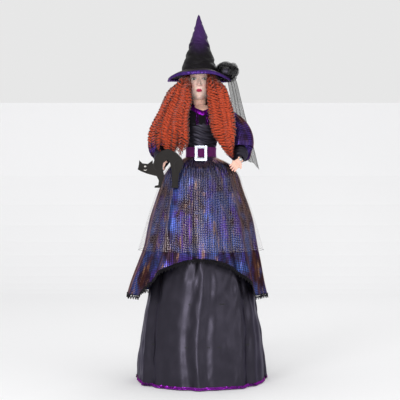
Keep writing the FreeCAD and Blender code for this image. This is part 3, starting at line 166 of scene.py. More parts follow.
def grid_faces(rows: int, columns: int, closed: bool = False) -> Array:
    """Quads of a grid whose rows lie one after another, joined round when closed.

    Args:
        rows: points down the grid.
        columns: points across it.
        closed: whether the last column joins the first.

    Returns:
        Four point numbers for each quad.
    """
    across = columns if closed else columns - 1
    row, column = np.meshgrid(np.arange(rows - 1), np.arange(across), indexing="ij")
    following = (column + 1) % columns
    corners = (row * columns + column, row * columns + following,
               (row + 1) * columns + following, (row + 1) * columns + column)
    return np.stack(corners, -1).reshape(-1, 4)


def circle_frame(path: Array) -> tuple[Array, Array]:
    """Two directions square to each point of a path: cross products with a fixed slanted direction.

    Args:
        path: points of shape (..., n, 3).

    Returns:
        The two unit directions at each point.
    """
    along = np.gradient(path, axis=-2)
    along = along / np.maximum(np.linalg.norm(along, axis=-1, keepdims=True), 1e-9)
    side = np.cross(along, np.array([0.31, 0.87, 0.38]))
    side = side / np.maximum(np.linalg.norm(side, axis=-1, keepdims=True), 1e-9)
    return side, np.cross(side, along)


def tube_grid(path: Array, radius: Array, sides: int) -> Array:
    """Points of tubes: the path plus the radius times cosine and sine along its two square directions.

    Args:
        path: points of shape (..., n, 3).
        radius: radius at each path point, of shape (..., n).
        sides: points round the tube.

    Returns:
        Points of shape (..., n, sides, 3).
    """
    side, up = circle_frame(path)
    turn = full_turn(sides)
    ring = np.cos(turn)[:, None] * side[..., None, :] + np.sin(turn)[:, None] * up[..., None, :]
    return path[..., None, :] + ring * radius[..., None, None]


# ------------------------------------------------------------------ pieces

@dataclass
class Piece:
    """A mesh in the making: its points in millimetres, its faces and what it carries.

    Attributes:
        name: name of the piece.
        points: points of shape (n, 3), in millimetres.
        faces: lists or an array of point numbers.
        uv: place of each point in its own cloth, in metres, or None.
        values: named numbers of each point that its material reads.
    """

    name: str
    points: Array
    faces: Array
    uv: Array | None = None
    values: dict[str, Array] = field(default_factory=dict)

    def make(self, finish: object, slot: str = "") -> Item:
        """Makes the object at the origin, with its finish.

        Args:
            finish: its finish.
            slot: the record's material slot, where it isn't the finish's own; not used.

        Returns:
            The new object.
        """
        mesh = bpy.data.meshes.new(self.name)
        mesh.from_pydata((self.points * MM).tolist(), [], np.asarray(self.faces).tolist())
        if self.uv is not None:
            corners = np.zeros(len(mesh.loops), np.int32)
            mesh.loops.foreach_get("vertex_index", corners)
            layer = mesh.uv_layers.new(name="cloth")
            layer.data.foreach_set("uv", self.uv[corners].astype(np.float32).ravel())
        for name, numbers in self.values.items():
            attribute = mesh.attributes.new(name, "FLOAT", "POINT")
            attribute.data.foreach_set("value", numbers.astype(np.float32).ravel())
        mesh.polygons.foreach_set("use_smooth", np.ones(len(mesh.polygons), bool))
        mesh.materials.append(finished(finish))
        mesh.update()
        item = bpy.data.objects.new(self.name, mesh)
        bpy.context.scene.collection.objects.link(item)
        slot = slot or finish.slot
        return item


def grid_piece(name: str, points: Array, closed: bool = False, uv: Array | None = None,
               values: dict[str, Array] | None = None) -> Piece:
    """A piece from one grid of points.

    Args:
        name: name of the piece.
        points: points of shape (rows, columns, 3).
        closed: whether the columns close into a ring.
        uv: cloth place of each point, of shape (rows, columns, 2).
        values: numbers of shape (rows, columns) for the material.

    Returns:
        The piece.
    """
    rows, columns = points.shape[:2]
    faces = grid_faces(rows, columns, closed)
    flat = {key: numbers.reshape(-1) for key, numbers in (values or {}).items()}
    return Piece(name, points.reshape(-1, 3), faces, None if uv is None else uv.reshape(-1, 2), flat)


def many_grids(name: str, points: Array, values: dict[str, Array] | None = None,
               closed: bool = True) -> Piece:
    """A piece from many equal grids, such as tubes.

    Args:
        name: name of the piece.
        points: points of shape (count, rows, columns, 3).
        values: numbers of shape (count, rows, columns) for the material.
        closed: whether the columns close into a ring.

    Returns:
        The piece, whose tubes end in a single closed point when their last rings do.
    """
    count, rows, columns = points.shape[:3]
    one = grid_faces(rows, columns, closed)
    faces = (one[None] + (np.arange(count) * rows * columns)[:, None, None]).reshape(-1, 4)
    flat = {key: numbers.reshape(-1) for key, numbers in (values or {}).items()}
    return Piece(name, points.reshape(-1, 3), faces, None, flat)


def apply_modifier(item: Item, kind: str, **settings: object) -> Item:
    """Adds a modifier and applies it to the mesh.

    Args:
        item: the object.
        kind: type name of the modifier.
        settings: its settings.

    Returns:
        The object.
    """
    modifier = item.modifiers.new(kind.lower(), kind)
    for name, value in settings.items():
        setattr(modifier, name, value)
    bpy.context.view_layer.update()
    graph = bpy.context.evaluated_depsgraph_get()
    mesh = bpy.data.meshes.new_from_object(item.evaluated_get(graph))
    item.modifiers.clear()
    item.data = mesh
    mesh.polygons.foreach_set("use_smooth", np.ones(len(mesh.polygons), bool))
    return item


def thicken(item: Item, thickness: float) -> Item:
    """Gives a sheet its thickness in millimetres, grown inwards."""
    return apply_modifier(item, "SOLIDIFY", thickness=thickness * MM, offset=-1.0)


# ------------------------------------------------------------------ finishes

def colour(code: str) -> tuple[float, float, float, float]:
    """Turns an sRGB hex code into linear red, green and blue.

    Args:
        code: six hex digits after a hash.

    Returns:
        The linear colour with full opacity.
    """
    parts = [int(code[start:start + 2], 16) / 255 for start in (1, 3, 5)]
    linear = [part / 12.92 if part <= 0.04045 else ((part + 0.055) / 1.055) ** 2.4 for part in parts]
    return linear[0], linear[1], linear[2], 1.0


def set_inputs(tree: Tree, node: bpy.types.Node, inputs: dict) -> None:
    """Gives inputs of a node their values or links.

    Args:
        tree: the material's nodes.
        node: the node.
        inputs: value or source socket for each input, by name or number.
    """
    for name, value in inputs.items():
        if isinstance(value, Socket):
            tree.links.new(value, node.inputs[name])
        else:
            node.inputs[name].default_value = value


def add_node(tree: Tree, kind: str, inputs: dict | None = None, **settings: object) -> bpy.types.Node:
    """Adds a node with its settings, input values and links.

    Args:
        tree: the material's nodes.
        kind: type name of the node.
        inputs: value or source socket for each input, by name or number.
        settings: the node's own settings.

    Returns:
        The node.
    """
    node = tree.nodes.new(kind)
    for name, value in settings.items():
        setattr(node, name, value)
    set_inputs(tree, node, inputs or {})
    return node


def blank(name: str) -> tuple[Material, Tree, bpy.types.Node]:
    """A new material with only its Principled shader.

    Args:
        name: name of the material.

    Returns:
        The material, its nodes and its shader.
    """
    material = bpy.data.materials.new(name)
    material.use_nodes = True
    tree = material.node_tree
    return material, tree, tree.nodes["Principled BSDF"]


class Weave(enum.Enum):
    """Surface structure of a finish."""

    SATIN = "fine lengthwise threads"
    PILE = "short brushed pile"
    GRAIN = "fine moulded grain"
    BRUSHED = "drawn lines"


@dataclass(frozen=True)
class PlainFinish:
    """A finish with two close colours in soft patches and one fine structure.

    Attributes:
        name: what the real material is.
        slot: the record's material slot.
        base: main colour.
        patch: colour of the patches.
        patch_size: size of the patches in millimetres.
        roughness: mean roughness.
        metallic: metallic share.
        weave: kind of fine structure.
        pitch: spacing of the structure in millimetres.
        relief: depth of the structure in millimetres.
        sheen: strength of the fuzz highlight.
        sheen_colour: colour of that highlight.
        coat: strength of a clear coat.
        tint: colour of a metal's highlights at grazing angles.
    """

    name: str
    slot: str
    base: str
    patch: str
    patch_size: float = 20.0
    roughness: float = 0.5
    metallic: float = 0.0
    weave: Weave = Weave.GRAIN
    pitch: float = 1.0
    relief: float = 0.1
    sheen: float = 0.0
    sheen_colour: str = "#ffffff"
    coat: float = 0.0
    tint: str = "#ffffff"

    def pattern(self, tree: Tree, place: Socket) -> Socket:
        """Height of the fine structure, from 0 to 1.

        Args:
            tree: the material's nodes.
            place: coordinates in metres.

        Returns:
            The height's socket.
        """
        scale = 1 / (self.pitch * MM)
        stretches = {Weave.SATIN: (1.0, 1.0, 0.12), Weave.BRUSHED: (0.05, 1.0, 1.0)}
        mapped = add_node(tree, "ShaderNodeMapping", {
            "Vector": place, "Scale": stretches.get(self.weave, (1.0, 1.0, 1.0))})
        noise = add_node(tree, "ShaderNodeTexNoise", {
            "Vector": mapped.outputs["Vector"], "Scale": scale, "Detail": 3.0, "Roughness": 0.6})
        return noise.outputs["Fac"]

    def make(self) -> Material:
        """Builds the material."""
        material, tree, shader = blank(self.name)
        place = add_node(tree, "ShaderNodeTexCoord").outputs["Object"]
        patches = add_node(tree, "ShaderNodeTexNoise", {
            "Vector": place, "Scale": 1 / (self.patch_size * MM), "Detail": 4.0})
        height = self.pattern(tree, place)
        mix = add_node(tree, "ShaderNodeMix", {
            "Factor": patches.outputs["Fac"], "A": colour(self.base), "B": colour(self.patch)},
            data_type="RGBA")
        grain = add_node(tree, "ShaderNodeMapRange", {
            "Value": height, "To Min": self.roughness * 0.8, "To Max": min(1.0, self.roughness * 1.2)})
        relief = add_node(tree, "ShaderNodeBump", {
            "Height": height, "Distance": self.relief * MM, "Strength": 0.6})
        set_inputs(tree, shader, {
            "Base Color": mix.outputs["Result"],
            "Roughness": grain.outputs["Result"],
            "Normal": relief.outputs["Normal"],
            "Metallic": self.metallic,
            "Sheen Weight": self.sheen,
            "Sheen Tint": colour(self.sheen_colour),
            "Coat Weight": self.coat,
            "Specular IOR Level": 0.15 if self.sheen else 0.5,
            "Specular Tint": colour(self.tint),
        })
        return material


@dataclass(frozen=True)
class LameFinish:
    """Metallic knit dotted with foil, whose sheen is painted into its colour: violet and blue painted
    highlights, a bronze painted reflection and painted shade.

    Foil dots stand on a dark ground; along the darker streaks they fade into it as painted shade, so the
    cloth glitters in points along its lit streaks.

    Attributes:
        name: what the real material is.
        slot: the record's material slot.
        ground: colour between the dots.
        plum: colour of the unlit foil.
        violet: main foil colour, laid in broad upright bands as a painted highlight.
        blue: painted highlight in the middle of the front, also laid in random patches.
        bronze: painted reflection along the lit streaks.
        pitch: spacing of the dots in millimetres.
        dot: share of the cell that a dot fills.
        drift: size of the colour patches in millimetres.
        roughness: roughness of the foil.
        centre: height of the painted blue highlight's middle above the floor, in millimetres.
    """

    name: str = "iridescent_lame_knit"
    slot: str = "violet_lame"
    ground: str = "#171019"
    plum: str = "#2c1a30"
    violet: str = "#5a38b8"
    blue: str = "#4468b8"
    bronze: str = "#b98a66"
    pitch: float = 4.2
    dot: float = 0.36
    drift: float = 55.0
    roughness: float = 0.3
    centre: float = 360.0

    def make(self) -> Material:
        """Builds the material."""
        material, tree, shader = blank(self.name)
        coordinates = add_node(tree, "ShaderNodeTexCoord")
        place, cloth = coordinates.outputs["Object"], coordinates.outputs["UV"]
        drift = add_node(tree, "ShaderNodeTexNoise", {
            "Vector": place, "Scale": 1 / (self.drift * MM), "Detail": 3.0, "Distortion": 0.6})
        # Upright streaks: their light parts get a painted bronze reflection, their dark parts painted shade.
        streak_place = add_node(tree, "ShaderNodeMapping", {"Vector": place, "Scale": (1.0, 1.0, 0.18)})
        light_and_shade_streak = add_node(tree, "ShaderNodeTexNoise", {
            "Vector": streak_place.outputs["Vector"], "Scale": 1 / (12 * MM), "Detail": 4.0,
            "Roughness": 0.65})
        # Painted highlight: a blue zone round the middle of the front at the centre height, joined by random
        # blue patches.
        middle = add_node(tree, "ShaderNodeMapping", {
            "Vector": place, "Location": (0.0, 0.1, -self.centre * MM), "Scale": (1.0, 0.35, 0.6)})
        distance = add_node(tree, "ShaderNodeVectorMath", {0: middle.outputs["Vector"]}, operation="LENGTH")
        near = add_node(tree, "ShaderNodeMapRange", {
            "Value": distance.outputs["Value"], "From Min": 0.115, "From Max": 0.03})
        patch = add_node(tree, "ShaderNodeMapRange", {
            "Value": drift.outputs["Fac"], "From Min": 0.42, "From Max": 0.6, "To Max": 0.75})
        blue_highlight_and_patch_share = add_node(tree, "ShaderNodeMath", {
            0: near.outputs["Result"], 1: patch.outputs["Result"]}, operation="MAXIMUM")
        # Painted highlight: broad upright bands of violet over the unlit plum.
        band_place = add_node(tree, "ShaderNodeMapping", {"Vector": place, "Scale": (1.0, 1.0, 0.25)})
        band = add_node(tree, "ShaderNodeTexNoise", {
            "Vector": band_place.outputs["Vector"], "Scale": 1 / (26 * MM), "Detail": 3.0, "Distortion": 0.4})
        violet_highlight_share = add_node(tree, "ShaderNodeMapRange", {
            "Value": band.outputs["Fac"], "From Min": 0.5, "From Max": 0.72})
        dark = add_node(tree, "ShaderNodeMix", {
            "Factor": violet_highlight_share.outputs["Result"], "A": colour(self.plum), "B": colour(self.violet)},
            data_type="RGBA")
        foil = add_node(tree, "ShaderNodeMix", {
            "Factor": blue_highlight_and_patch_share.outputs["Value"], "A": dark.outputs["Result"], "B": colour(self.blue)},
            data_type="RGBA")
        # Painted reflection: bronze along the lightest streaks.
        lit = add_node(tree, "ShaderNodeMapRange", {
            "Value": light_and_shade_streak.outputs["Fac"], "From Min": 0.57, "From Max": 0.72, "To Max": 0.85})
        foil_with_bronze_reflection = add_node(tree, "ShaderNodeMix", {
            "Factor": lit.outputs["Result"], "A": foil.outputs["Result"], "B": colour(self.bronze)},
            data_type="RGBA")
        cell = add_node(tree, "ShaderNodeTexVoronoi", {
            "Vector": cloth, "Scale": 1 / (self.pitch * MM), "Randomness": 0.0}, voronoi_dimensions="2D")
        dots = add_node(tree, "ShaderNodeMapRange", {
            "Value": cell.outputs["Distance"], "From Min": self.dot + 0.12, "From Max": self.dot})
        # Painted shade: along the dark streaks the foil dots fade into the dark ground.
        deep = add_node(tree, "ShaderNodeMapRange", {
            "Value": light_and_shade_streak.outputs["Fac"], "From Min": 0.3, "From Max": 0.55, "To Min": 0.15, "To Max": 1.0})
        share = add_node(tree, "ShaderNodeMath", {
            0: dots.outputs["Result"], 1: deep.outputs["Result"]}, operation="MULTIPLY")
        mix = add_node(tree, "ShaderNodeMix", {
            "Factor": share.outputs["Value"], "A": colour(self.ground), "B": foil_with_bronze_reflection.outputs["Result"]},
            data_type="RGBA")
        relief = add_node(tree, "ShaderNodeBump", {
            "Height": dots.outputs["Result"], "Distance": 0.4 * MM, "Strength": 0.5})
        set_inputs(tree, shader, {
            "Base Color": mix.outputs["Result"],
            "Normal": relief.outputs["Normal"],
            "Metallic": 0.8,
            "Roughness": self.roughness,
            "Specular Tint": colour("#e8b890"),
        })
        return material


@dataclass(frozen=True)
class NetFinish:
    """Knotted net: opaque threads round open cells, with or without glitter dots.

    Attributes:
        name: what the real material is.
        slot: the record's material slot.
        thread: colour of the threads.
        glitter: colour of the dots.
        pitch: spacing of the cells in millimetres.
        open_alpha: opacity left in the cells, for the threads too fine to show.
        thread_alpha: opacity of the threads.
        dot: share of the cell that a dot fills, 0 for none.
    """

    name: str
    slot: str
    thread: str
    glitter: str
    pitch: float
    open_alpha: float
    thread_alpha: float
    dot: float = 0.0

    def make(self) -> Material:
        """Builds the material."""
        material, tree, shader = blank(self.name)
        cloth = add_node(tree, "ShaderNodeTexCoord").outputs["UV"]
        edges = add_node(tree, "ShaderNodeTexVoronoi", {
            "Vector": cloth, "Scale": 1 / (self.pitch * MM), "Randomness": 0.25},
            voronoi_dimensions="2D", feature="DISTANCE_TO_EDGE")
        thread = add_node(tree, "ShaderNodeMapRange", {
            "Value": edges.outputs["Distance"], "From Min": 0.12, "From Max": 0.04,
            "To Min": self.open_alpha, "To Max": self.thread_alpha})
        cell = add_node(tree, "ShaderNodeTexVoronoi", {
            "Vector": cloth, "Scale": 1 / (self.pitch * 2 * MM), "Randomness": 0.3}, voronoi_dimensions="2D")
        dots = add_node(tree, "ShaderNodeMapRange", {
            "Value": cell.outputs["Distance"], "From Min": self.dot + 0.05, "From Max": max(self.dot, 0.001)})
        dot_share = dots.outputs["Result"] if self.dot else 0.0
        alpha = add_node(tree, "ShaderNodeMath", {0: thread.outputs["Result"], 1: dot_share},
                         operation="MAXIMUM")
        mix = add_node(tree, "ShaderNodeMix", {
            "Factor": dot_share, "A": colour(self.thread), "B": colour(self.glitter)}, data_type="RGBA")
        shine = add_node(tree, "ShaderNodeMapRange", {"Value": dot_share, "To Min": 0.0, "To Max": 0.9})
        set_inputs(tree, shader, {
            "Base Color": mix.outputs["Result"],
            "Alpha": alpha.outputs["Value"],
            "Metallic": shine.outputs["Result"],
            "Roughness": 0.35,
        })
        return material


@dataclass(frozen=True)
class BlendFinish:
    """A finish whose colour follows a number carried by the piece's points.

    Attributes:
        name: what the real material is.
        slot: the record's material slot.
        attribute: name of the number.
        low: colour where it is 0.
        high: colour where it is 1.
        roughness: roughness.
        metallic: metallic share.
        sheen: strength of the fuzz highlight.
        grain: spacing of the fine structure in millimetres.
        relief: depth of that structure in millimetres.
    """

    name: str
    slot: str
    attribute: str
    low: str
    high: str
    roughness: float = 0.45
    metallic: float = 0.0
    sheen: float = 0.0
    grain: float = 0.6
    relief: float = 0.05

    def make(self) -> Material:
        """Builds the material."""
        material, tree, shader = blank(self.name)
        number = add_node(tree, "ShaderNodeAttribute", attribute_name=self.attribute)
        place = add_node(tree, "ShaderNodeTexCoord").outputs["Object"]
        noise = add_node(tree, "ShaderNodeTexNoise",
                         {"Vector": place, "Scale": 1 / (self.grain * MM), "Detail": 2.0})
        drift = add_node(tree, "ShaderNodeMath", {
            0: noise.outputs["Fac"], 1: 0.3, 2: number.outputs["Fac"]}, operation="MULTIPLY_ADD")
        centred = add_node(tree, "ShaderNodeMath", {0: drift.outputs["Value"], 1: 0.15}, operation="SUBTRACT")
        mix = add_node(tree, "ShaderNodeMix", {
            "Factor": centred.outputs["Value"], "A": colour(self.low), "B": colour(self.high)},
            data_type="RGBA")
        relief = add_node(tree, "ShaderNodeBump", {
            "Height": noise.outputs["Fac"], "Distance": self.relief * MM, "Strength": 0.5})
        set_inputs(tree, shader, {
            "Base Color": mix.outputs["Result"],
            "Normal": relief.outputs["Normal"],
            "Roughness": self.roughness,
            "Metallic": self.metallic,
            "Sheen Weight": self.sheen,
            "Specular IOR Level": 0.15 if self.sheen else 0.5,
        })
        return material


@dataclass(frozen=True)
class SkinFinish:
    """Matt vinyl skin with painted lips, brows, lashes and blush, read from the face's points.

    Attributes:
        name: what the real material is.
        skin: colour of the vinyl.
        paints: for each layer, the number that the points carry and its painted colour.
        slot: the record's material slot.
    """

    name: str = "matt_vinyl_skin"
    skin: str = "#f0cfc2"
    paints: tuple[tuple[str, str], ...] = (
        ("blush", "#e8998d"), ("lips", "#b8234f"), ("brows", "#8a5a44"), ("liner", "#3a2a2c"))
    slot: str = "skin_vinyl"

    def make(self) -> Material:
        """Builds the material."""
        material, tree, shader = blank(self.name)
        place = add_node(tree, "ShaderNodeTexCoord").outputs["Object"]
        noise = add_node(tree, "ShaderNodeTexNoise",
                         {"Vector": place, "Scale": 1 / (0.8 * MM), "Detail": 3.0})
        mottle = add_node(tree, "ShaderNodeMapRange", {"Value": noise.outputs["Fac"], "To Max": 0.25})
        base = add_node(tree, "ShaderNodeMix", {
            "Factor": mottle.outputs["Result"], "A": colour(self.skin), "B": colour("#e6b8a8")},
            data_type="RGBA")
        current = base.outputs["Result"]
        for attribute, code in self.paints:
            number = add_node(tree, "ShaderNodeAttribute", attribute_name=attribute)
            layer = add_node(tree, "ShaderNodeMix", {
                "Factor": number.outputs["Fac"], "A": current, "B": colour(code)}, data_type="RGBA")
            current = layer.outputs["Result"]
        relief = add_node(tree, "ShaderNodeBump", {"Height": noise.outputs["Fac"], "Distance": 0.03 * MM})
        set_inputs(tree, shader, {
            "Base Color": current,
            "Normal": relief.outputs["Normal"],
            "Roughness": 0.48,
            "Subsurface Weight": 0.08,
            "Subsurface Scale": 2 * MM,
        })
        return material


def finished(finish: object) -> Material:
    """The material of a finish, made on its first use."""
    return bpy.data.materials.get(finish.name) or finish.make()


def corners(node: str) -> tuple[Array, Array]:
    """Lowest and highest corner of a frame piece, in millimetres."""
    low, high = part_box(node)
    return np.array(low) / MM, np.array(high) / MM


# Satin polyester: dense black with wide grey highlights along its folds.
SATIN = PlainFinish("black_polyester_satin", "black_satin", "#2b2931", "#3a3741", 30, 0.36, 0.8,
                    Weave.SATIN, 0.9, 0.05, tint="#b8b4c4")
# Cut velvet: deep colour that turns paler at its grazing edges.
BLACK_VELVET = PlainFinish("black_cut_velvet", "black_satin", "#08070a", "#120e14", 12, 0.85,
                           weave=Weave.PILE, pitch=0.7, relief=0.15, sheen=0.15, sheen_colour="#4a4458")
PURPLE_VELVET = PlainFinish("purple_cut_velvet", "purple_velvet", "#4a0f48", "#611a58", 9, 0.75,
                            weave=Weave.PILE, pitch=0.8, relief=0.2, sheen=0.8, sheen_colour="#c070c0")
# Vacuum-metallised foil cloth: saturated, mirror-like purple with small creases.
FOIL = PlainFinish("purple_foil_cloth", "purple_foil", "#5c0a78", "#74108c", 8, 0.3, 0.8,
                   Weave.PILE, 1.6, 0.2, tint="#d8a0e8")
# Iridescent lame: violet bands and a blue zone are painted highlights, bronze streaks a painted reflection
# and dark streaks painted shade; the sleeve's blue zone sits at its own height.
LAME = LameFinish()
SLEEVE_LAME = LameFinish("iridescent_lame_sleeve", plum="#2a1a33", violet="#482c8e", blue="#5a44a8",
                         bronze="#6e4a48", centre=595.0)
# Glitter tulle: sheer grey-brown net with pale foil dots.
GLITTER_TULLE = NetFinish("nylon_glitter_tulle", "glitter_tulle", "#4a4438", "#e4d4dc", 2.1, 0.0, 0.16, 0.10)
VEIL_TULLE = NetFinish("black_tulle", "black_net", "#15140f", "#15140f", 1.8, 0.22, 0.75)
ROSETTE_NET = NetFinish("stiff_black_net", "black_net", "#0b0a0c", "#0b0a0c", 2.4, 0.45, 1.0)
# Corded lace: matt cotton-like black thread.
LACE = PlainFinish("black_corded_lace", "black_lace", "#0a090b", "#141216", 5, 0.7,
                   weave=Weave.BRUSHED, pitch=0.5, relief=0.1, sheen=0.3, sheen_colour="#5c5866")
SEQUIN = PlainFinish("purple_sequins", "purple_foil", "#4b0f5a", "#9a2ab8", 2.5, 0.22, 0.9,
                     Weave.BRUSHED, 0.8, 0.02, tint="#ff9ad8")
# Chromed frame: a mid-grey mirror. Foil-backed acrylic stones: paler and glossier.
CHROME = PlainFinish("bright_chrome_plate", "buckle_chrome", "#74767c", "#5e6066", 6, 0.26, 1.0,
                     Weave.BRUSHED, 0.4, 0.01)
STONE = PlainFinish("foiled_acrylic_stone", "buckle_chrome", "#d4d6de", "#b4b8c4", 3, 0.12, 0.8,
                    Weave.GRAIN, 1.0, 0.01, coat=1.0)
# Heat-set synthetic curls: glossy copper strands, darker near the scalp; their tone also carries painted
# highlight on each curl's outer side and painted shade on its inner side and on the deeper locks.
HAIR = BlendFinish("auburn_synthetic_hair", "auburn_hair", "tone", "#260702", "#bc4420", 0.32, grain=1.2,
                   relief=0.1, sheen=0.25)
# Painted shade: dark auburn for the wig's cap and the masses under the curls, standing for the shade between
# and under the curls.
HAIR_SHADOW = PlainFinish("auburn_hair_shade_base", "auburn_hair", "#3a0f06", "#5a1a0b", 6, 0.7,
                          weave=Weave.SATIN, pitch=1.2, relief=0.5)
# Crushed cloth: near-black at the brim, turning purple towards the tip.
HAT_CLOTH = BlendFinish("crushed_glitter_cloth", "hat_felt", "height", "#0b080a", "#3d1f58", 0.52, 0.25,
                        sheen=0.03, grain=3.0, relief=0.4)
HAT_UNDERSIDE = PlainFinish("black_hat_lining", "hat_felt", "#100d10", "#1c171b", 15, 0.6,
                            weave=Weave.SATIN, pitch=1.0, relief=0.1, sheen=0.3, sheen_colour="#564c50")
HAT_BINDING = PlainFinish("purple_satin_binding", "purple_foil", "#2c1b52", "#4a2f7a", 9, 0.28, 0.7,
                          Weave.SATIN, 1.2, 0.15, tint="#c9a0e0")
CARD = PlainFinish("printed_card", "cat_board", "#1d1b1a", "#272423", 14, 0.7,
                   weave=Weave.PILE, pitch=1.5, relief=0.08, sheen=0.02)
CARD_PALE = PlainFinish("pale_print_ink", "cat_board", "#cfc8c2", "#e9e4de", 3, 0.6, pitch=0.6, relief=0.02)
CARD_DARK = PlainFinish("black_print_ink", "cat_board", "#0d0c0c", "#191716", 3, 0.6, pitch=0.6, relief=0.02)
# Painted vinyl: matt skin, with paint of the same low shine. The white glint in each eye is a painted
# highlight.
PAINTED_SKIN = SkinFinish("painted_vinyl_face", "#f3d3c6", (
    ("blush", "#e8998d"), ("shadow", "#b98a86"), ("lips", "#b8234f"), ("brows", "#8a5a44"),
    ("sclera", "#eef0ee"),
    ("iris", "#4c5c4e"), ("liner", "#3a2a2c"), ("pupil", "#0a0a0a"), ("glint", "#ffffff")))
# Moulded vinyl without paint, for the hands.
BARE_SKIN = SkinFinish("matt_vinyl_hands", "#e3b5a2", (("blush", "#e59a8c"),))

# The pieces inside keep their frame shapes and get the finish of what they are made of.
FRAME_FINISHES = (
    PlainFinish("foam_rubber", "pad_rubber", "#161616", "#222222", 4, 0.9, pitch=0.8, relief=0.3),
    PlainFinish("raw_fibreboard", "base_board", "#7d6247", "#8f7455", 6, 0.8, weave=Weave.PILE, pitch=1.2,
                relief=0.15),
    PlainFinish("black_powder_coat", "black_steel", "#141416", "#1c1c1f", 9, 0.45, 0.3, pitch=0.8,
                relief=0.06),
    PlainFinish("zinc_plated_steel", "zinc_steel", "#a9adb2", "#c0c2be", 5, 0.32, 0.9, Weave.BRUSHED, 0.5,
                0.02),
    PlainFinish("bright_ground_steel", "ground_steel", "#9a9da2", "#aeb1b5", 7, 0.25, 1.0, Weave.BRUSHED,
                0.3, 0.02),
    PlainFinish("black_moulded_abs", "black_plastic", "#101012", "#18181a", 10, 0.42, pitch=0.9, relief=0.05),
    PlainFinish("red_moulded_abs", "red_plastic", "#a3161b", "#b8242a", 6, 0.38, pitch=0.9, relief=0.04),
    PlainFinish("shrink_film_label", "cell_wrap", "#23303c", "#2e3d4b", 8, 0.3, 0.2, pitch=1.0, relief=0.02),
    PlainFinish("soft_pvc_jacket", "wire_jacket", "#161517", "#201f21", 5, 0.5, pitch=0.6, relief=0.04),
    PlainFinish("natural_acetal", "gear_acetal", "#e4e0d2", "#d9d4c4", 7, 0.4, pitch=0.7, relief=0.03),
    PlainFinish("zinc_die_casting", "motor_case", "#6f7377", "#81858a", 6, 0.38, 0.8, pitch=0.8, relief=0.06),
    PlainFinish("blow_moulded_vinyl", "torso_vinyl", "#e3b5a2", "#dcab98", 9, 0.5, pitch=1.0, relief=0.04),
    PlainFinish("pale_moulded_vinyl", "skin_vinyl", "#e3b5a2", "#dcab98", 7, 0.5, pitch=0.8, relief=0.03),
    SATIN, LAME, GLITTER_TULLE, LACE, PURPLE_VELVET, CHROME, FOIL, HAT_UNDERSIDE, HAIR_SHADOW, VEIL_TULLE,
    CARD,
)


def dress_frame(record: dict, nodes: dict[str, Item]) -> None:
    """Gives every frame piece the finish of its material slot.

    Args:
        record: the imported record.
        nodes: the frame's objects by name.
    """
    by_slot = {finish.slot: finish for finish in FRAME_FINISHES}
    for part in record["subparts"]:
        material = finished(by_slot[part["material_slot"]])
        mesh = nodes[part["node"]].data
        if not mesh.materials:
            mesh.materials.append(material)
        for index in range(len(mesh.materials)):
            mesh.materials[index] = material


# ------------------------------------------------------------------ skirts

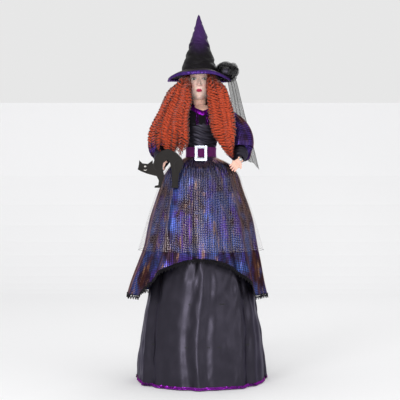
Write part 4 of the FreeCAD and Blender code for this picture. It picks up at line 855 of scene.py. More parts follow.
@dataclass
class SkirtLayer:
    """One gathered layer: a round profile whose folds deepen from the waist to the hem.

    Attributes:
        name: name of the piece.
        node: the frame piece that it stands for.
        radii: (height, radius) knots, from the hem up.
        folds: numbers of folds round the turn.
        depth: fold depth at the waist and at the hem.
        gathers: number of small gathers at the waist.
        wrinkle: depth and size of the crossing wrinkles.
        seed: seed of the folds.
        flat: width and length that the cloth was cut to, in metres; not used.
        area: flat area of that cut in square metres; not used.
        waist: radius that the layer is pressed to behind the buckle.
        rows: points from the waist to the hem.
        columns: points round the turn.
    """

    name: str
    node: str
    radii: Knots
    folds: tuple[int, ...]
    depth: Pair
    gathers: int
    wrinkle: Pair
    seed: int
    flat: Pair
    area: float
    waist: float
    rows: int = 88
    columns: int = 540

    def hem(self, angle: Array) -> Array:
        """Height of the hem: level, at the lowest knot."""
        return np.full_like(angle, self.radii[0][0])

    def offset(self, angle: Array, height: Array) -> Array:
        """Radius added by the way the layer hangs: none."""
        return np.zeros_like(angle * height)

    def surface(self, angle: Array, height: Array) -> Array:
        """Points of the cloth: profile radius plus folds, at an angle from the front towards +X.

        Args:
            angle: angle from the front, in radians.
            height: height of each point.

        Returns:
            Points of shape (..., 3).
        """
        low, high = self.radii[0][0], self.radii[-1][0]
        down = np.clip((high - height) / (high - low), 0, 1)
        swayed = angle + 0.05 * np.sin(height / 60 + 2 * np.sin(angle))
        fold = waves(swayed, self.folds, self.seed)
        pull = smooth(0.0, 0.06, down)
        gather = np.cos(self.gathers * angle + np.sin(5 * angle)) * pull * (1 - smooth(0.05, 0.4, down))
        rng = np.random.default_rng(self.seed + 1)
        crease = np.zeros_like(height)
        for turn, phase in zip(rng.uniform(-1.1, 1.1, 7), rng.uniform(0, TURN, 7)):
            run = angle * 90 * math.cos(turn) + height * math.sin(turn)
            crease = crease + 1 - 2 * np.abs(np.sin(run / self.wrinkle[1] + phase + 0.8 * fold))
        radius = profile(self.radii, height) + self.offset(angle, height)
        radius = radius + fold * pull * (self.depth[0] + (self.depth[1] - self.depth[0]) * down)
        radius = radius + gather * 1.1 + crease / 7 * self.wrinkle[0] * smooth(0.05, 0.35, down)
        pressed = smooth(526, 547, height) * np.exp(-((radius
                                                       * np.sin(angle)) / 23) ** 4) * (np.cos(angle) > 0)
        radius = radius - pressed * np.clip(radius - self.waist, 0, None)
        return np.stack([radius * np.sin(angle), -radius * np.cos(angle), height], -1)

    def grid(self) -> tuple[Array, Array, Array]:
        """Angle and height of each grid point from the waist to the hem, and the points."""
        angle = np.linspace(-math.pi, math.pi, self.columns + 1)
        share = np.linspace(0, 1, self.rows)[:, None] ** 0.9
        top = self.radii[-1][0]
        height = top + (self.hem(angle)[None] - top) * share
        angle = np.broadcast_to(angle, height.shape)
        return angle, height, self.surface(angle, height)

    def build(self, finish: object, thickness: float = 0.0) -> Item:
        """Makes the layer as a sheet of gathered cloth that rides the figure.

        Args:
            finish: its finish.
            thickness: thickness added inwards, in millimetres, 0 for a bare net.

        Returns:
            The object.
        """
        angle, height, points = self.grid()
        steps = np.linalg.norm(np.diff(points, axis=0, prepend=points[:1]), axis=-1)
        across = angle * profile(self.radii, height)
        uv = np.stack([across, -np.cumsum(steps, axis=0)], -1) * MM
        item = grid_piece(self.name, points[:, ::-1], uv=uv[:, ::-1]).make(finish)
        item = apply_modifier(item, "WELD", merge_threshold=0.02 * MM)
        if thickness:
            item = thicken(item, thickness)
        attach(item, FIGURE)
        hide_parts(self.node)
        return item


@dataclass
class ArchedSkirt(SkirtLayer):
    """The lame overskirt, whose front hem rises in an arch and whose sides swing out.

    Attributes:
        arch_radius: radius of the hem's arch, seen from the front.
        arch_centre: height of the arch's centre.
        swing: how far the hem's corners stand out to the figure's right and left.
    """

    arch_radius: float = 160.0
    arch_centre: float = 148.0
    swing: Pair = (12.0, -10.0)

    def hem(self, angle: Array) -> Array:
        """Height of the hem: a circle's arch across the front, found by repeated substitution."""
        low = self.radii[0][0]
        height = np.full_like(angle, low)
        for _ in range(30):
            x = profile(self.radii, height) * np.sin(angle)
            arch = self.arch_centre + np.sqrt(np.clip(self.arch_radius ** 2 - x ** 2, 0, None))
            height = 0.5 * height + 0.5 * np.where(np.cos(angle) > 0, np.maximum(arch, low), low)
        return height

    def offset(self, angle: Array, height: Array) -> Array:
        """Radius added at the hem's corners, as squared cosines centred about 70 degrees to each side."""
        low = self.radii[0][0]
        near = 1 - smooth(0, 130, height - low)
        right = np.clip(np.cos((angle + 1.25) * 1.2), 0, 1) ** 2 * (np.abs(angle + 1.25) < 1.3)
        left = np.clip(np.cos((angle - 1.25) * 1.2), 0, 1) ** 2 * (np.abs(angle - 1.25) < 1.3)
        return near * (self.swing[0] * right + self.swing[1] * left)


@dataclass
class Skirts:
    """All three skirt layers, the scalloped lace and the sequin hem.

    Attributes:
        lace_drop: height of the lace.
        scallop: width of one scallop.
        thread: radius of the lace's cords.
        sequin: radius of a sequin.
    """

    lace_drop: float = 8.5
    scallop: float = 8.5
    thread: float = 0.75
    sequin: float = 2.1
    under: SkirtLayer = field(default_factory=lambda: SkirtLayer(
        "underskirt_satin", "underskirt",
        ((1.5, 161), (100, 152), (200, 136), (320, 117), (420, 93), (500, 66), (553, 33)),
        (7, 11, 18, 25), (0.5, 5.5), 44, (2.6, 15.0), 11, (1.1, 0.6), 0.43, 30.5))
    over: ArchedSkirt = field(default_factory=lambda: ArchedSkirt(
        "overskirt_lame", "overskirt",
        ((216, 166), (302, 145), (328, 138), (405, 124), (476, 101), (517, 86), (540, 66), (556, 37.5)),
        (7, 9, 13, 21), (2.4, 12.5), 46, (1.2, 30.0), 23, (1.05, 0.42), 0.3, 31.4, 88, 540))
    net: SkirtLayer = field(default_factory=lambda: SkirtLayer(
        "net_overskirt_tulle", "net_overskirt",
        ((325, 155), (405, 132), (476, 108), (517, 92), (540, 71), (557, 39.5)),
        (8, 12, 17), (0.8, 6.0), 50, (1.0, 20.0), 23, (0.98, 0.29), 0.22, 32.4, 70, 420))

    def lace(self) -> Item:
        """Scallops along the overskirt's hem: a half ring, an inner ring, a wavy header line and one picot
        for each.

        Returns:
            The lace, which rides the figure.
        """
        fine = np.linspace(-math.pi, math.pi, 4000)
        hem = self.over.surface(fine, self.over.hem(fine))
        run = np.concatenate([[0], np.cumsum(np.linalg.norm(np.diff(hem, axis=0), axis=1))])
        count = int(run[-1] / self.scallop)
        centres = (np.arange(count) + 0.5) * run[-1] / count
        turn = np.linspace(0, math.pi, 9)
        half = self.scallop / 2
        drop = self.lace_drop
        outer = np.stack([half * np.cos(turn), 1.5 - drop * np.sin(turn)], -1)
        inner = np.stack([1.7 * np.cos(turn * 2), -0.4 * drop + 1.9 * np.sin(turn * 2)], -1)
        header = np.stack([np.linspace(-half, half, 9), 1.2 + 0.8 * np.cos(turn * 4)], -1)
        picot = np.stack([1.2 * np.cos(turn * 2), 0.6 - drop + 1.2 * np.sin(turn * 2)], -1)
        lines = np.stack([outer, inner, header, picot])
        along = (centres[:, None, None] + lines[None, ..., 0]) % run[-1]
        base = np.stack([np.interp(along, run, hem[:, axis]) for axis in range(3)], -1)
        out = base * (1, 1, 0)
        out = unit(out)
        level = lines[None, ..., 1]
        path = base + out * 0.6 + np.stack([np.zeros_like(along), np.zeros_like(along), level + 0 * along],
                                           -1)
        path = path + out * (0.12 * np.clip(-level, 0, None))[..., None]
        path = path.reshape(-1, len(turn), 3)
        grids = tube_grid(path, np.full(path.shape[:2], self.thread), 5)
        item = many_grids("scalloped_lace", grids).make(LACE)
        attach(item, FIGURE)
        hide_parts("lace_trim")
        return item

    def discs(self, name: str, centres: Array, normals: Array, radius: float) -> Piece:
        """Small six-sided sequins: a ring and a raised middle for each, facing along its normal.

        Args:
            name: name of the piece.
            centres: their centres, of shape (n, 3).
            normals: their unit normals.
            radius: radius of one.

        Returns:
            The sequins as one piece.
        """
        side = np.cross(normals, np.array([0.1, 0.2, 0.97]))
        side = unit(side)
        up = np.cross(normals, side)
        turn = full_turn(6)
        ring = (np.cos(turn)[:, None] * side[:, None] + np.sin(turn)[:, None] * up[:, None]) * radius
        rings = [centres[:, None] + ring * 0.25 + normals[:, None] * 0.5,
                 centres[:, None] + ring, centres[:, None] + ring * 0.25 - normals[:, None] * 0.2]
        return many_grids(name, np.stack(rings, 1)[:, ::-1])

    def sequins(self) -> Item:
        """Two rows of sequins round the underskirt's hem.

        Returns:
            The sequins, which ride the figure.
        """
        rng = np.random.default_rng(5)
        count = int(TURN * self.under.radii[0][1] / (self.sequin * 1.75))
        angle = np.tile(np.linspace(0, TURN, count, endpoint=False), 2) - math.pi
        height = np.repeat([3.0, 6.4], count)
        angle = angle + np.repeat([0, math.pi / count], count)
        place = self.under.surface(angle, height)
        normal = np.stack([np.sin(angle), -np.cos(angle), np.zeros_like(angle)], -1)
        normal = normal + rng.normal(0, 0.22, normal.shape)
        normal = unit(normal)
        piece = self.discs("hem_sequins", place + normal * 1.0, normal, self.sequin)
        item = piece.make(SEQUIN)
        item.data.polygons.foreach_set("use_smooth", np.zeros(len(item.data.polygons), bool))
        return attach(item, FIGURE)

    def net_edge(self) -> Item:
        """The net's rolled hem: a thin round cord along its lower edge.

        Returns:
            The cord, which rides the figure.
        """
        angle = np.linspace(-math.pi, math.pi, 361)
        path = self.net.surface(angle, self.net.hem(angle))[None]
        grids = tube_grid(path, np.full(path.shape[:2], 0.7), 6)
        item = many_grids("net_rolled_hem", grids).make(VEIL_TULLE)
        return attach(item, FIGURE)

    def build(self) -> list[Item]:
        """Makes every piece of the skirts."""
        return [self.under.build(SATIN, 0.5), self.over.build(LAME, 0.4), self.net.build(GLITTER_TULLE),
                self.lace(), self.sequins(), self.net_edge()]


# ------------------------------------------------------------------ chest

@dataclass
class Torso:
    """Bodice, collar, belt and buckle stones round the chest.

    Attributes:
        halves: (height, half width, half depth) of the chest.
        v_bottom: height of the neckline's lowest point.
        v_rise: how far the neckline rises to the side of the neck.
        band: height of the collar's foil band.
        stone: width, height and depth of a buckle stone.
        skin_top: height of the bare skin's upper edge.
        skin_drop: how far down the bare skin runs from there.
        satin_top: height of the bust band's upper edge.
        satin_drop: how far down the bust band runs from there.
    """

    halves: tuple[Triple, ...] = (
        (550, 34, 30), (572, 33, 29), (590, 37, 30.6), (600, 40.4, 32.9), (620, 47.3, 38.7), (634, 51, 41),
        (648, 52, 40),
        (660, 53, 37), (664, 49.9, 35.3), (668, 46.7, 33.6), (672, 43.6, 31.9), (676, 37.8, 28.8),
        (680, 29.4, 24.4), (684, 21.5, 20.2), (692, 19, 18.5))
    v_bottom: float = 668.0
    v_rise: float = 17.0
    band: float = 9.0
    stone: Triple = (5.4, 5.2, 2.6)
    skin_top: float = 685.0
    skin_drop: float = 25.0
    satin_top: float = 640.0
    satin_drop: float = 66.0

    def skin(self, angle: Array, height: Array, proud: Array | float) -> Array:
        """Points round the chest: an ellipse at each height, let out by the cloth.

        Args:
            angle: angle from the front towards +X.
            height: height of each point.
            proud: distance outside the chest.

        Returns:
            Points of shape (..., 3).
        """
        width = profile([(z, a) for z, a, _ in self.halves], height) + proud
        depth = profile([(z, b) for z, _, b in self.halves], height) + proud
        return np.stack([width * np.sin(angle), -depth * np.cos(angle), height], -1)

    def neckline(self, angle: Array) -> Array:
        """Height of the neckline: a V at the front, level round the back."""
        return self.v_bottom + self.v_rise * np.clip(np.abs(angle - 0.1) / 0.95, 0, 1)

    def ring(self, name: str, height: Array, proud: Array, angle: Array, finish: object,
             thickness: float) -> Item:
        """A closed band of cloth round the chest, with its thickness.

        Args:
            name: name of the piece.
            height: height of each grid point, from the top row down.
            proud: distance outside the chest of each.
            angle: angle of each.
            finish: the finish.
            thickness: thickness of the cloth.

        Returns:
            The object, which rides the figure.
        """
        points = self.skin(angle, height, proud)
        item = grid_piece(name, points[:, ::-1], closed=True).make(finish)
        item = thicken(item, thickness)
        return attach(item, FIGURE)

    def turns(self, rows: int, columns: int = 360) -> tuple[Array, Array]:
        """Angle and share from top to bottom of a grid round the chest."""
        angle = full_turn(columns) - math.pi
        share = np.linspace(0, 1, rows)[:, None]
        return np.broadcast_to(angle, (rows, columns)), np.broadcast_to(share, (rows, columns))

    def chest_skin(self) -> Item:
        """The bare skin inside the neckline: a patch of the chest that runs up to the neck.

        Returns:
            The patch, which rides the figure.
        """
        share = np.linspace(0, 1, 40)[:, None]
        angle = np.linspace(-1.5, 1.5, 90)[None] + 0 * share
        height = self.skin_top - self.skin_drop * share + 0 * angle
        points = self.skin(angle, height, 1.0 + 0.6 * share)
        values = {"blush": np.zeros_like(height)}
        item = grid_piece("neckline_vinyl", points[:, ::-1], values=values).make(BARE_SKIN)
        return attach(thicken(item, 0.8), FIGURE)

    def satin_band(self) -> Item:
        """The bust band: satin drawn sideways, with creases that rise and fall round the body."""
        angle, share = self.turns(90)
        height = self.satin_top - share * self.satin_drop
        drift = height + 5 * np.sin(angle * 1.5 + 0.6) + 3 * np.sin(angle * 4)
        crease = 1 - 2 * np.abs(np.sin(drift / 5.2)) + 0.7 * (1 - 2 * np.abs(np.sin(drift / 3.1 + angle * 2)))
        hold = smooth(0, 0.12, share) * (1 - smooth(0.88, 1, share))
        return self.ring("bust_band_satin", height, 1.6 + (1.3 + crease * 0.9) * hold, angle, SATIN, 0.8)

    def velvet_yoke(self) -> Item:
        """The upper bodice: velvet from the neckline down over the band's top edge."""
        angle, share = self.turns(60)
        top = self.neckline(angle)
        low = 629 + 3 * np.cos(angle * 2)
        height = top + (low - top) * share
        pleat = 0.6 * np.cos(angle * 26) * smooth(0.3, 1, share)
        item = self.ring("bodice_velvet_yoke", height, 2.2 + pleat, angle, BLACK_VELVET, 1.0)
        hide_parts("bodice")
        return item

    def collar(self) -> Item:
        """The foil collar: a rolled band that follows the neckline and stands a little away."""
        angle, share = self.turns(16)
        roll = np.sin(share * math.pi)
        height = self.neckline(angle) + 1.5 - self.band * share * (1 + 0.35 * np.exp(-(angle / 0.35) ** 2))
        crease = 0.35 * np.cos(angle * 31 + 3 * np.sin(angle * 3))
        item = self.ring("collar_foil", height, 3.0 + 1.6 * roll + crease * roll, angle, FOIL, 0.8)
        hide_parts("collar")
        return item

    def belt(self) -> Item:
        """The velvet belt: a band a little hollow along its middle, with soft upright creases."""
        low, high = corners("belt")
        angle, share = self.turns(24)
        height = high[2] + (low[2] - high[2]) * share
        crease = 0.35 * np.cos(angle * 15 + 2 * np.sin(angle * 2)) - 0.9 * np.sin(share * math.pi)
        width = high[0] + crease
        depth = high[1] + crease
        points = np.stack([width * np.sin(angle), -depth * np.cos(angle), height], -1)
        item = grid_piece("belt_velvet", points[:, ::-1], closed=True).make(PURPLE_VELVET)
        item = thicken(item, 1.5)
        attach(item, FIGURE)
        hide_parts("belt")
        return item

    def stones(self) -> Item:
        """Square-cut stones round the buckle: each a pyramid cut off near its top.

        Returns:
            The stones, which ride the figure.
        """
        low, high = corners("buckle")
        wide, tall, deep = self.stone
        x = np.linspace(low[0] + wide / 2, high[0] - wide / 2, 6)
        z = np.linspace(low[2] + tall / 2, high[2] - tall / 2, 8)
        rows = [(a, b) for a in x for b in (z[0], z[-1])] + [(a, b) for a in (x[0], x[-1]) for b in z[1:-1]]
        centre = np.array([(a, low[1], b) for a, b in rows])
        corner = np.array([(-1, -1), (1, -1), (1, 1), (-1, 1)]) / 2
        rings = []
        for size, lift in ((1.0, 0.3), (1.0, -0.35), (0.62, -1.0), (0.02, -1.05)):
            ring = np.stack([corner[:, 0] * wide * size, np.full(4, lift * deep),
                             corner[:, 1] * tall * size], -1)
            rings.append(centre[:, None] + ring * 0.96)
        piece = many_grids("buckle_stones", np.stack(rings, 1))
        item = piece.make(STONE)
        item.data.polygons.foreach_set("use_smooth", np.zeros(len(item.data.polygons), bool))
        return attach(item, FIGURE)

    def sequin_strips(self, skirts: Skirts) -> Item:
        """Columns of sequins down the yoke, on both sides of its plain middle.

        Args:
            skirts: the skirts, whose sequins these repeat.

        Returns:
            The sequins, which ride the figure.
        """
        across = np.array([-10.5, -7.0, 12.0, 15.5, 19.0, -30.0, 31.0])
        height = np.arange(636, 668, 3.0)
        x, z = [grid.reshape(-1) for grid in np.meshgrid(across, height)]
        width = profile([(level, a) for level, a, _ in self.halves], z)
        angle = np.arcsin(np.clip(x / width, -0.95, 0.95))
        keep = z < self.neckline(angle) - self.band
        angle, z = angle[keep], z[keep]
        place = self.skin(angle, z, 3.1)
        normal = np.stack([np.sin(angle), -np.cos(angle), np.full_like(angle, 0.15)], -1)
        normal = normal + np.random.default_rng(8).normal(0, 0.15, normal.shape)
        normal = unit(normal)
        item = skirts.discs("bodice_sequins", place, normal, 1.5).make(SEQUIN)
        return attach(item, FIGURE)

    def build(self, skirts: Skirts) -> list[Item]:
        """Makes every piece on the chest."""
        return [self.chest_skin(), self.satin_band(), self.velvet_yoke(), self.collar(), self.belt(),
                self.stones(),
                self.sequin_strips(skirts)]


# ------------------------------------------------------------------ arms

@dataclass
class Arm:
    """Puff sleeve, cuff and hand of one side.

    Attributes:
        side: 1 for the witch's left, at +X, and -1 for the right.
        wrist: place of the wrist.
        reach: direction of the fingers.
        palm_normal: direction that the back of the hand faces.
        curl: how far the fingers bend, in radians.
        elbow: place of the elbow at +X.
        palm: length, width and thickness of the palm.
        finger: length and radius of the middle finger.
    """

    side: int
    wrist: Triple
    reach: Triple
    palm_normal: Triple
    curl: float
    elbow: Triple = (96.0, 0.0, 578.0)
    palm: Triple = (19.0, 18.0, 7.5)
    finger: Pair = (21.0, 2.5)

    @property
    def word(self) -> str:
        """The side's name."""
        return "left" if self.side > 0 else "right"

    @property
    def body(self) -> str:
        """The moving body that the forearm belongs to."""
        return f"forearm_{self.word}"

    def along_forearm(self, distance: float) -> Array:
        """The point that lies this far past the elbow, towards the wrist."""
        elbow = np.array(self.elbow) * (self.side, 1, 1)
        line = np.array(self.wrist) - elbow
        return elbow + line / np.linalg.norm(line) * distance

    def sleeve(self) -> Item:
        """The puff sleeve: circles of swelling radius along a bent path, gathered at both ends.

        Returns:
            The sleeve, with its transform baked in and no body of its own.
        """
        knots = np.array([(60, 0, 664), (70, 0, 658), (80, 0, 640), (90, 0, 615),
                          (95, -3, 592)]) * (self.side, 1, 1)
        path = np.vstack([knots, self.along_forearm(6), self.along_forearm(13), self.along_forearm(17)])
        radii = np.array([9, 17, 28, 35, 37, 34, 27, 19])
        at = np.linspace(0, 1, len(path))
        share = np.linspace(0, 1, 80)
        line = np.stack([profile(list(zip(at, path[:, axis])), share) for axis in range(3)], -1)
        radius = profile(list(zip(at, radii)), share)
        ends = 1 - smooth(0.05, 0.4, share) + smooth(0.6, 0.95, share)
        turn = full_turn(160)
        along = np.gradient(line, axis=0)
        along = unit(along)
        across = np.cross(along, np.array([0, 1.0, 0]))
        across = unit(across)
        front = np.cross(across, along)
        pleat = waves(turn, (17, 23, 29), 31 + self.side) * 2.0 * ends[:, None]
        sag = waves(turn[None] + 2 * share[:, None], (3, 5, 7), 37) * 2.2 * np.sin(share * math.pi)[:, None]
        reach = radius[:, None] + (pleat + sag) * smooth(0, 0.04, share)[:, None]
        points = line[:, None] + reach[..., None] * (
            np.cos(turn)[None, :, None] * across[:, None] + np.sin(turn)[None, :, None] * front[:, None])
        around = np.broadcast_to(turn, reach.shape) * radius.max()
        down = np.broadcast_to(share[:, None] * 150, reach.shape)
        uv = np.stack([around, down], -1) * MM
        piece = grid_piece(f"puff_sleeve_{self.word}", points, closed=True, uv=uv)
        item = thicken(outward(piece.make(SLEEVE_LAME)), 0.4)
        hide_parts(f"sleeve_{self.word}")
        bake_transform(item)
        return item

    def cuff(self) -> Item:
        """The satin cuff: a tapering tube with rings of small creases and a ribbed wrist band.

        Returns:
            The cuff, which rides the forearm.
        """
        reach = float(np.linalg.norm(np.array(self.wrist) - np.array(self.elbow) * (self.side, 1, 1)))
        share = np.linspace(0, 1, 60)
        line = np.stack([self.along_forearm(18 + step * (reach - 20)) for step in share])
        radius = profile([(0, 18.5), (0.3, 20.5), (0.6, 17.5), (0.82, 11.0), (0.88, 9.2), (1, 9.6)], share)
        radius = radius + 0.5 * np.cos(share * 34) * (1 - smooth(0.8, 0.85,
                                                                 share)) + 0.3 * np.cos(share * 200) * (
            smooth(0.85, 0.9, share))
        points = tube_grid(line, radius, 64)
        piece = grid_piece(f"cuff_satin_{self.word}", points, closed=True)
        item = thicken(outward(piece.make(SATIN)), 1.0)
        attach(item, self.body)
        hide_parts(f"cuff_{self.word}")
        return item

    def hand(self) -> Item:
        """The hand: a rounded palm, four jointed fingers and a thumb, fused and smoothed.

        Returns:
            The hand, which rides the forearm.
        """
        reach = np.array(self.reach) / np.linalg.norm(self.reach)
        normal = np.array(self.palm_normal, float)
        normal = normal - reach * (normal @ reach)
        normal = normal / np.linalg.norm(normal)
        across = np.cross(normal, reach) * self.side
        start = np.array(self.wrist)
        length, width, thick = self.palm
        share = np.linspace(0, 1, 24)
        swell = profile([(0, 0.02), (0.04, 0.5), (0.3, 0.7), (0.7, 1.0), (0.96, 0.8), (1, 0.02)], share)
        turn = full_turn(32)
        line = start + reach * (share * (length + 6) - 5)[:, None]
        palm = line[:, None] + swell[:, None, None] * (
            np.cos(turn)[None, :, None] * across * width / 2 + np.sin(turn)[None, :,
                                                                            None] * normal * thick / 2)
        grids = [palm]
        for index, (offset, share_of_length, fan) in enumerate(
                ((-6.6, 0.80, -0.16), (-2.2, 0.95, -0.05), (2.2, 1.0, 0.05), (6.4, 0.9, 0.15))):
            base = start + reach * (length - 3.0) + across * offset
            grids.append(self.digit(base, reach, across, normal, fan, self.finger[0] * share_of_length,
                                    self.curl * (1 + 0.12 * index)))
        base = start + reach * 6 + across * (width / 2 - 3)
        grids.append(self.digit(base, reach, across, normal, 0.75, self.finger[0] * 0.75, self.curl * 0.6))
        points, faces, total = [], [], 0
        for grid in grids:
            faces.append(grid_faces(*grid.shape[:2], closed=True) + total)
            points.append(grid.reshape(-1, 3))
            total += len(points[-1])
        piece = Piece(f"hand_vinyl_{self.word}", np.vstack(points), np.vstack(faces))
        item = outward(piece.make(BARE_SKIN))
        item = apply_modifier(item, "REMESH", mode="VOXEL", voxel_size=0.55 * MM)
        item = apply_modifier(item, "SMOOTH", factor=0.5, iterations=6)
        places = np.zeros(len(item.data.vertices) * 3)
        item.data.vertices.foreach_get("co", places)
        tips = smooth(0.6, 1.0, (places.reshape(-1, 3) / MM - start) @ reach / (length + self.finger[0]))
        attribute = item.data.attributes.new("blush", "FLOAT", "POINT")
        attribute.data.foreach_set("value", (0.45 * tips).astype(np.float32))
        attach(item, self.body)
        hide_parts(f"hand_{self.word}")
        return item

    def digit(self, base: Array, reach: Array, across: Array, normal: Array, fan: float, length: float,
              curl: float) -> Array:
        """One finger: circles along an arc that leaves the palm fanned out and bends towards it.

        Args:
            base: where it starts.
            reach: direction of the hand.
            across: direction across the palm.
            normal: direction of the back of the hand.
            fan: angle away from the hand's direction.
            length: length of the finger.
            curl: how far it has bent at its tip.

        Returns:
            Points of shape (rings, sides, 3), closed at both ends.
        """
        share = np.linspace(0, 1, 18)
        bend = share * curl
        heading = reach * math.cos(fan) + across * math.sin(fan)
        step = np.cos(bend)[:, None] * heading - np.sin(bend)[:, None] * normal
        line = base + np.cumsum(step, axis=0) * length / len(share)
        radius = self.finger[1] * profile(
            [(0, 0.02), (0.05, 0.9), (0.35, 1.0), (0.5, 0.92), (0.7, 0.9), (0.9, 0.72), (0.97, 0.42),
             (1, 0.02)],
            share)
        return tube_grid(line, radius, 12)

    def build(self) -> list[Item]:
        """Makes the sleeve, the cuff and the hand."""
        return [self.sleeve(), self.cuff(), self.hand()]


def outward(item: Item) -> Item:
    """Turns the faces of a new closed or tube mesh outwards, where its volume comes out negative.

    Args:
        item: an object whose mesh has no wall yet.

    Returns:
        The same object.
    """
    mesh = item.data
    mesh.calc_loop_triangles()
    corner = np.zeros(len(mesh.loop_triangles) * 3, np.int32)
    mesh.loop_triangles.foreach_get("vertices", corner)
    place = np.zeros(len(mesh.vertices) * 3)
    mesh.vertices.foreach_get("co", place)
    place = place.reshape(-1, 3)
    place = place - place.mean(axis=0)
    a, b, c = place[corner.reshape(-1, 3)].transpose(1, 0, 2)
    if np.einsum("ij,ij->", a, np.cross(b, c)) < 0:
        mesh.flip_normals()
    return item


# ------------------------------------------------------------------ head

